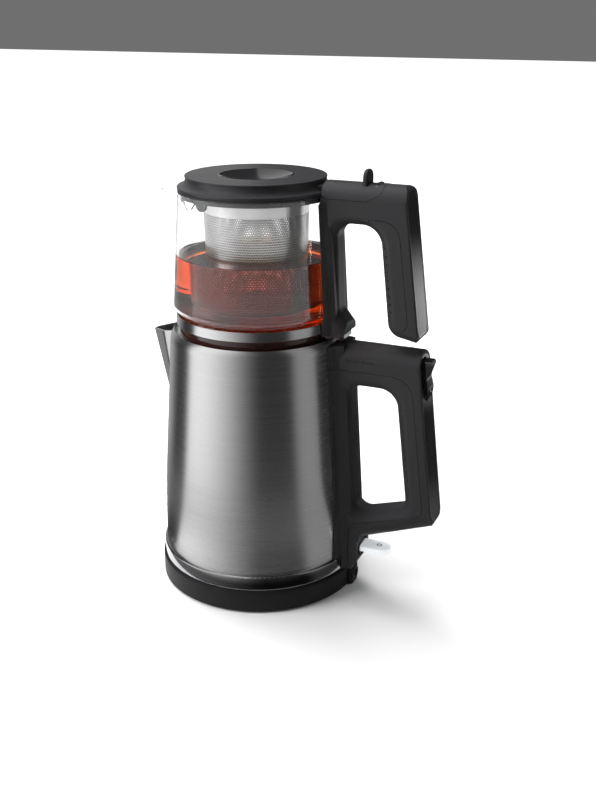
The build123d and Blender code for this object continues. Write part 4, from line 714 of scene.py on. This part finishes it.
# places are given as bearing in degrees, distance and height
softBoxes = {
    "leftBox": {
        "bearing": -140, "reach": 1.2, "height": 0.75, "size": (0.8, 0.9), "power": 20.0, "aim": 0.15,
        "gloss": False,
    },
    "rightStrip": {
        "bearing": 10, "reach": 1.2, "height": 0.6, "size": (0.35, 1.0), "power": 1.6, "aim": 0.2,
        "gloss": False,
    },
    "overhead": {
        "bearing": 140, "reach": 0.5, "height": 1.45, "size": (1.1, 1.1), "power": 40.0, "aim": 0.0,
        "gloss": False,
    },
    "backBox": {
        "bearing": 128, "reach": 1.05, "height": 0.85, "size": (0.8, 0.6), "power": 1.4, "aim": 0.3,
        "gloss": False,
    },
}
for name, look in softBoxes.items():
    lamp = bpy.data.lights.new(name, "AREA")
    lamp.shape = "RECTANGLE"
    lamp.size, lamp.size_y = look["size"]
    lamp.energy = look["power"]
    holder = bpy.data.objects.new(name, lamp)
    bpy.context.scene.collection.objects.link(holder)
    bearing = math.radians(look["bearing"])
    holder.location = (look["reach"] * math.cos(bearing), look["reach"] * math.sin(bearing), look["height"])
    aimAt(holder, (0, 0, look["aim"]))
    holder.visible_camera = False
    holder.visible_glossy = look["gloss"]


# what shiny parts mirror: a dark surround with graded light panels, as a studio sets round metal
# a panel's bearings count from the surround's seam behind the part
# its start, end, low and high edges each have a place and how far the light takes to fade there
surroundLook = {
    "reach": 0.40, "foot": 0.105, "lift": 0.0008, "height": 1.4, "seam": 116.0, "base": 0.03, "turns": 72,
    "shade": (0.116, 0.126, 0.22), "evenReach": (0.16, 0.19, 0.26, 0.38), "evenShare": 0.55, "evenGlow": 0.22,
}
panels = {
    "backPanel": {
        "start": (0.0, 1.0), "end": (34.0, 34.0), "low": (-1.0, 0.1), "high": (0.8, 0.2), "glow": 0.42,
    },
    "leftPanel": {
        "start": (84.0, 9.0), "end": (102.0, 82.0), "low": (-1.0, 0.1), "high": (0.9, 0.2), "glow": 1.05,
    },
    "rightPanel": {
        "start": (214.0, 14.0), "end": (250.0, 10.0), "low": (-1.0, 0.1), "high": (0.9, 0.2),
        "glow": 0.26,
    },
    "sidePanel": {
        "start": (290.0, 8.0), "end": (322.0, 8.0), "low": (0.05, 0.05), "high": (0.17, 0.08),
        "glow": 1.0,
    },
    "roofPanel": {
        "start": (20.0, 40.0), "end": (110.0, 40.0), "low": (0.7, 0.1), "high": (1.4, 0.1), "glow": 0.9,
    },
}


def smoothShare(tree, value, first, last, place):
    node = addNode(tree, "ShaderNodeMapRange", place, interpolation_type="SMOOTHSTEP")
    node.inputs["From Min"].default_value = first
    node.inputs["From Max"].default_value = last
    link(tree, value, node.inputs["Value"])
    return node.outputs[0]


def multiply(tree, a, b, place):
    return mathNode(tree, "MULTIPLY", a, b, place)


# the light of one panel, by bearing in degrees and by height
def addPanel(tree, look, turned, height, y):
    start, softStart = look["start"]
    end, softEnd = look["end"]
    low, softLow = look["low"]
    high, softHigh = look["high"]
    rising = smoothShare(tree, turned, start, start + softStart, (-480, y))
    falling = smoothShare(tree, turned, end + softEnd, end, (-480, y - 80))
    share = multiply(tree, rising, falling, (-300, y))
    above = smoothShare(tree, height, low, low + softLow, (-480, y - 160))
    below = smoothShare(tree, height, high + softHigh, high, (-480, y - 240))
    window = multiply(tree, above, below, (-300, y - 160))
    return multiply(tree, multiply(tree, share, window, (-140, y)), look["glow"], (0, y))


# beside the foot the floor lies in shade, and a little further out it mirrors more evenly
def addFloorShade(tree, look, place, total):
    flat = addNode(tree, "ShaderNodeVectorMath", (-480, -700), operation="MULTIPLY")
    flat.inputs[1].default_value = (1.0, 1.0, 0.0)
    link(tree, place, flat.inputs[0])
    away = addNode(tree, "ShaderNodeVectorMath", (-300, -700), operation="LENGTH")
    link(tree, flat.outputs[0], away.inputs[0])
    away = away.outputs["Value"]
    first, last, least = look["shade"]
    shade = smoothShare(tree, away, first, last, (-120, -700))
    shade = mathNode(tree, "ADD", multiply(tree, shade, 1 - least, (40, -700)), least, (200, -700))
    inner, full, fading, gone = look["evenReach"]
    nearing = smoothShare(tree, away, inner, full, (-120, -900))
    leaving = smoothShare(tree, away, gone, fading, (-120, -1000))
    even = multiply(tree, multiply(tree, nearing, leaving, (40, -900)), look["evenShare"], (200, -900))
    kept = multiply(tree, total, mathNode(tree, "SUBTRACT", 1.0, even, (360, -900)), (360, -300))
    total = mathNode(tree, "ADD", kept, multiply(tree, even, look["evenGlow"], (360, -1000)), (520, -300))
    return multiply(tree, total, shade, (680, -300))


def makeSurroundGlow(look):
    material, tree, shader, output = newMaterial("surroundGlow")
    tree.nodes.remove(shader)
    coord = addNode(tree, "ShaderNodeTexCoord", (-1500, 0))
    split = addNode(tree, "ShaderNodeSeparateXYZ", (-1320, 0))
    link(tree, coord.outputs["Object"], split.inputs[0])
    angle = mathNode(tree, "ARCTAN2", split.outputs[1], split.outputs[0], (-1140, 0))
    degrees = multiply(tree, angle, 180 / math.pi, (-980, 0))
    fromSeam = mathNode(tree, "ADD", degrees, 720 - look["seam"], (-820, 0))    # two turns keep it above zero
    turned = mathNode(tree, "MODULO", fromSeam, 360.0, (-660, 0))
    total = look["base"]
    for number, panelLook in enumerate(panels.values()):
        y = 300 - 300 * number
        panel = addPanel(tree, panelLook, turned, split.outputs[2], y)
        total = mathNode(tree, "ADD", panel, total, (160, y))
    total = addFloorShade(tree, look, coord.outputs["Object"], total)
    glow = addNode(tree, "ShaderNodeEmission", (840, 0))
    output.location = (1040, 0)
    link(tree, total, glow.inputs["Strength"])
    link(tree, glow.outputs[0], output.inputs[0])
    return material


def makeSurround(look):
    steps = look["turns"]
    verts = []
    for i in range(steps):
        bearing = math.radians(look["seam"] + 360 * i / steps)
        edges = ((look["foot"], look["lift"]), (look["reach"], look["lift"]), (look["reach"], look["height"]))
        for reach, height in edges:
            verts.append((reach * math.cos(bearing), reach * math.sin(bearing), height))
    faces = []
    for i in range(steps):
        j = (i + 1) % steps
        faces += [(3 * i + k, 3 * j + k, 3 * j + k + 1, 3 * i + k + 1) for k in (0, 1)]
    mesh = bpy.data.meshes.new("surround")
    mesh.from_pydata(verts, [], faces)
    mesh.materials.append(makeSurroundGlow(look))
    surround = bpy.data.objects.new("surround", mesh)
    bpy.context.scene.collection.objects.link(surround)
    for ray in ("camera", "diffuse", "shadow", "transmission", "volume_scatter"):
        setattr(surround, "visible_" + ray, False)


makeSurround(surroundLook)
print("stage lit")


cameraLook = {"place": (0.33619, -0.68928, 0.44086), "forward": (-0.37540, 0.85512, -0.35755),
              "lens": 46.87, "sensor": 36.0, "nearest": 0.01}


def makeCamera(look):
    camera = bpy.data.objects.new("photoCamera", bpy.data.cameras.new("photoCamera"))
    bpy.context.scene.collection.objects.link(camera)
    camera.location = look["place"]
    aimAt(camera, Vector(look["place"]) + Vector(look["forward"]))
    camera.data.lens = look["lens"]
    camera.data.sensor_width = look["sensor"]
    camera.data.clip_start = look["nearest"]
    bpy.context.scene.camera = camera


makeCamera(cameraLook)
bpy.context.scene.view_settings.view_transform = "Standard"
print("camera set")
